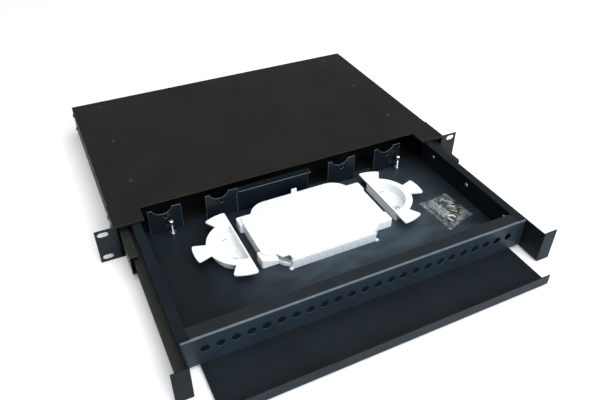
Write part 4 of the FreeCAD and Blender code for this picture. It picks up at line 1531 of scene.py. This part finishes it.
@dataclass
class AccessoryBag:
    """Soft clear bag with splice sleeves, cable ties and rack screws."""

    long: float = 55.0 * MM
    wide: float = 45.0 * MM
    turn: float = 5.0
    seal: float = 2.6 * MM
    columns: int = 50
    rows: int = 60
    swell: float = 6.0 * MM
    seed: int = 11
    sleeve_count: int = 9
    tie_count: int = 4
    zinc_screws: int = 4
    screw_count: int = 9
    place: Matrix = field(init=False)

    def __post_init__(self) -> None:
        """Find where the bag lies."""
        low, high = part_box("accessory_bag")
        middle = (low + high) / 2
        self.place = (Matrix.Translation((middle.x, middle.y, low.z))
                      @ Matrix.Rotation(math.radians(self.turn), 4, "Z"))

    def height(self, s: float, t: float) -> float:
        """Height of the upper film at a point of the bag, both sides counted from -1 to 1.

        Args:
            s: Point across the bag.
            t: Point along the bag.

        Returns:
            The height over what the bag lies on.
        """
        edge = min((1 - abs(s)) * self.wide / 2, (1 - abs(t)) * self.long / 2)
        if edge < self.seal:
            return 0.55 * MM + 0.12 * MM * math.sin(edge * 2 * math.pi / (0.9 * MM))
        rise = min(1.0, (edge - self.seal) / (6 * MM))
        rise = rise * rise * (3 - 2 * rise)
        lumps = noise.noise(Vector((s * 1.9, t * 2.2, 3.0))) * 1.3 * MM
        creases = abs(noise.noise(Vector((s * 3.1 + t * 1.5, t * 2.6 - s, 9.0)))) * 2.6 * MM
        folds = abs(noise.noise(Vector((s * 7 + t * 3, t * 6, 4.0)))) * 1.1 * MM
        return 0.6 * MM + rise * max(0.8 * MM, self.swell - 1.4 * MM + lumps - creases + folds)

    def spread(self, s: float, t: float) -> Point:
        """Place of a point of the film: the sides pull in and the near edge lies slanted.

        Args:
            s: Point across the bag, from -1 to 1.
            t: Point along the bag, from -1 to 1.

        Returns:
            The place in the bag's own plane.
        """
        sway = 0.5 * MM * noise.noise(Vector((s * 3, t * 3, 1)))
        x = s * self.wide / 2 * (1 - 0.05 * (1 - t * t)) + sway
        y = t * self.long / 2 * (1 - 0.04 * (1 - s * s))
        return x, y + max(0.0, -t) * s * 4.5 * MM

    def film(self) -> None:
        """Closed skin of upper and lower film."""
        work = Workpiece()
        work.use(BAG_FILM)
        for upper in (True, False):
            grid = []
            for row in range(self.rows + 1):
                t = 2 * row / self.rows - 1
                line = []
                for column in range(self.columns + 1):
                    s = 2 * column / self.columns - 1
                    rim = row in (0, self.rows) or column in (0, self.columns)
                    z = 0.3 * MM if rim else self.height(s, t) if upper else 0.1 * MM
                    line.append(work.mesh.verts.new(self.place @ Vector((*self.spread(s, t), z))))
                grid.append(line)
            for low, high in zip(grid, grid[1:]):
                for index in range(self.columns):
                    corners = [low[index], low[index + 1], high[index + 1], high[index]]
                    work.face(corners if upper else list(reversed(corners)))
        self.grip(work)
        work.done("bag_film", "drawer", ["accessory_bag"])

    def grip(self, work: Workpiece) -> None:
        """Two ribs of the bag's grip seal along its far edge.

        Args:
            work: Workpiece that they are added to.
        """
        for offset in (5.0 * MM, 6.4 * MM):
            t = 1 - offset / (self.long / 2)
            path = []
            for step in range(21):
                s = (step / 10 - 1) * 0.92
                path.append(self.place @ Vector((*self.spread(s, t), 0.3 * MM + self.height(s, t))))
            work.tube(path, 0.32 * MM, 6)

    def sleeves(self, draws: random.Random) -> None:
        """Clear splice sleeves, each with its steel pin.

        Args:
            draws: Source of the random places.
        """
        tubes, pins = Workpiece(), Workpiece()
        tubes.use(SLEEVE_TUBE)
        pins.use(ZINC)
        half = 15.5 * MM
        for index in range(self.sleeve_count):
            column, level = index % 5, index // 5
            spot = (self.place
                    @ Matrix.Translation((-14.5 * MM + column * 2.7 * MM, draws.uniform(1, 6) * MM,
                                          1.6 * MM + level * 2.0 * MM))
                    @ Matrix.Rotation(math.radians(draws.uniform(-9, 9)), 4, "Z"))
            tubes.tube([spot @ Vector((0, share * half, 0)) for share in (-1, -0.5, 0, 0.5, 1)],
                       1.1 * MM)
            pins.tube([spot @ Vector((0.25 * MM, share * half, -0.2 * MM))
                       for share in (-0.95, 0, 0.95)], 0.5 * MM)
        tubes.done("splice_sleeves", "drawer")
        pins.done("splice_sleeve_pins", "drawer")

    def ties(self, draws: random.Random) -> None:
        """Black nylon cable ties, bent round to fit into the bag.

        Args:
            draws: Source of the random places.
        """
        work = Workpiece()
        work.use(NYLON)
        for index in range(self.tie_count):
            radius = (8.5 + index * 1.3) * MM
            centre = Vector(((4.5 + draws.uniform(-1, 1)) * MM,
                             (2 + draws.uniform(-5, 5)) * MM, 0))
            start, level = draws.uniform(0, 360), (1.2 + index * 0.75) * MM
            band = arc((centre.x, centre.y), radius, start, start + 230, 30)
            rings = []
            for step, (x, y) in enumerate(band):
                out = (Vector((x, y, 0)) - centre).normalized()
                lift = level + 0.5 * MM * math.sin(step / 6 + index)
                rings.append([self.place @ (Vector((x, y, lift)) + out * across * MM + UP * up * MM)
                              for across, up in ((-1.2, -0.3), (1.2, -0.3), (1.2, 0.3),
                                                 (-1.2, 0.3))])
            work.loft(rings)
            work.bar((-2 * MM, -1.8 * MM, -0.9 * MM), (2 * MM, 1.8 * MM, 0.9 * MM),
                     self.place @ Matrix.Translation(Vector((*band[0], level)))
                     @ Matrix.Rotation(math.radians(start), 4, "Z"))
        work.done("cable_ties", "drawer", bevel=0.15 * MM)

    def screws(self, draws: random.Random) -> None:
        """Yellow-passivated rack screws and plain zinc ones, lying on their sides.

        Args:
            draws: Source of the random places.
        """
        work = Workpiece()
        fasteners = Fasteners(rings=8, steps=28)
        turn = self.place.to_3x3()
        length, pitch = 7 * MM, 0.7 * MM
        for index in range(self.screw_count):
            plain = index < self.zinc_screws
            work.use(ZINC if plain else YELLOW_ZINC)
            angle = math.radians(draws.uniform(0, 360))
            across = (-13, 2) if plain else (5, 15)
            spot = Vector((draws.uniform(*across) * MM, draws.uniform(-18, 14) * MM,
                           (2.2 + index % 2) * MM))
            if plain:
                spot.y = draws.uniform(-18, -12) * MM
            seat, axis = self.place @ spot, turn @ Vector((*around(1, angle), 0.06))
            fasteners.head(work, seat, axis, 2.1 * MM, 1.5 * MM, Recess.CROSS)
            work.lathe([(1.15 * MM if row % 2 else 1.4 * MM, -length + row * pitch / 2)
                        for row in range(int(length / pitch * 2) + 1)], facing(seat, axis), 14)
        work.done("loose_screws", "drawer")

    def build(self) -> None:
        """Make the film and everything in the bag."""
        draws = random.Random(self.seed)
        self.film()
        self.sleeves(draws)
        self.ties(draws)
        self.screws(draws)


# ------------------------------------------------------------------ studio

@dataclass(frozen=True)
class Softbox:
    """Rectangular soft light: its place, aim, size, power in watts and colour."""

    name: str
    spot: Triple
    aim: Triple
    size: Point
    power: float
    colour: Colour

    def hang(self) -> None:
        """Put the light into the scene and point it."""
        lamp = bpy.data.lights.new(self.name, "AREA")
        lamp.shape, lamp.size, lamp.size_y = "RECTANGLE", *self.size
        lamp.energy, lamp.color = self.power, self.colour
        box = bpy.data.objects.new(self.name, lamp)
        box.location = self.spot
        box.rotation_mode = "QUATERNION"
        box.rotation_quaternion = (Vector(self.aim) - Vector(self.spot)).to_track_quat("-Z", "Y")
        bpy.context.scene.collection.objects.link(box)


@dataclass
class Studio:
    """Floor, soft lights and a camera that looks down on the drawer from the front left."""

    azimuth: float = -25.87
    elevation: float = 37.99
    roll: float = 0.19
    distance: float = 728.6 * MM
    right: float = 5.15 * MM
    rise: float = -10.64 * MM
    lens: float = 35.217
    sensor: float = 36.0
    nearest: float = 0.01
    farthest: float = 100.0
    world: float = 0.29
    world_colour: Colour = (0.97, 0.985, 1.0)
    floor_half: float = 14.0
    softboxes: tuple[Softbox, ...] = (
        Softbox("overhead", (0.2, -0.5, 2.6), (0, 0.1, 0), (3.4, 2.4), 72, (1.0, 0.985, 0.96)),
        Softbox("front_window", (0.5, -2.3, 1.4), (0, 0, 0), (2.6, 1.2), 78, (0.80, 0.90, 1.0)),
        Softbox("left_fill", (-2.4, 0.2, 0.9), (0, 0, 0), (1.6, 1.2), 4, (1.0, 0.97, 0.94)),
    )

    def build(self) -> None:
        """Set up the whole studio."""
        self.floor()
        self.sky()
        for softbox in self.softboxes:
            softbox.hang()
        self.camera()

    def floor(self) -> None:
        """Pale paper at the height of the sleeve's underside."""
        level, half = CAD_BOX[0].z, self.floor_half
        data = bpy.data.meshes.new("studio_floor")
        signs = ((-1, -1), (1, -1), (1, 1), (-1, 1))
        data.from_pydata([(x * half, y * half, level) for x, y in signs], [], [(0, 1, 2, 3)])
        data.materials.append(PAPER.material())
        floor = bpy.data.objects.new("studio_floor", data)
        bpy.context.scene.collection.objects.link(floor)

    def sky(self) -> None:
        """Even pale surroundings."""
        scene = bpy.context.scene
        scene.world = bpy.data.worlds.new("studio_surroundings")
        scene.world.use_nodes = True
        background = scene.world.node_tree.nodes["Background"]
        background.inputs["Color"].default_value = (*self.world_colour, 1)
        background.inputs["Strength"].default_value = self.world
        scene.view_settings.view_transform = "Standard"

    def camera(self) -> None:
        """Camera placed by its angles, distance and offset from the frame's origin."""
        azimuth, elevation, roll = map(math.radians, (self.azimuth, self.elevation, self.roll))
        ahead = math.cos(elevation)
        back = Vector((math.sin(azimuth) * ahead, -math.cos(azimuth) * ahead, math.sin(elevation)))
        level = Vector((math.cos(azimuth), math.sin(azimuth), 0))
        steep = back.cross(level)
        spot = back * self.distance + level * self.right + steep * self.rise
        x = level * math.cos(roll) + steep * math.sin(roll)
        y = steep * math.cos(roll) - level * math.sin(roll)
        data = bpy.data.cameras.new("camera")
        data.lens, data.sensor_width = self.lens, self.sensor
        data.clip_start, data.clip_end = self.nearest, self.farthest
        camera = bpy.data.objects.new("camera", data)
        camera.matrix_world = Matrix((
            (x.x, y.x, back.x, spot.x), (x.y, y.y, back.y, spot.y),
            (x.z, y.z, back.z, spot.z), (0, 0, 0, 1)))
        bpy.context.scene.collection.objects.link(camera)
        bpy.context.scene.camera = camera


def main() -> None:
    """Build the studio and every sub-assembly in order."""
    logging.basicConfig(level=logging.INFO, format="%(name)s: %(message)s")
    for assembly in (Studio(), Sleeve(), Slides(), Drawer(), Fasteners(), SpliceTray(),
                     HalfMoon("left"), HalfMoon("right"), AccessoryBag()):
        LOG.info("building %s", type(assembly).__name__)
        assembly.build()


if __name__ == "__main__":
    main()
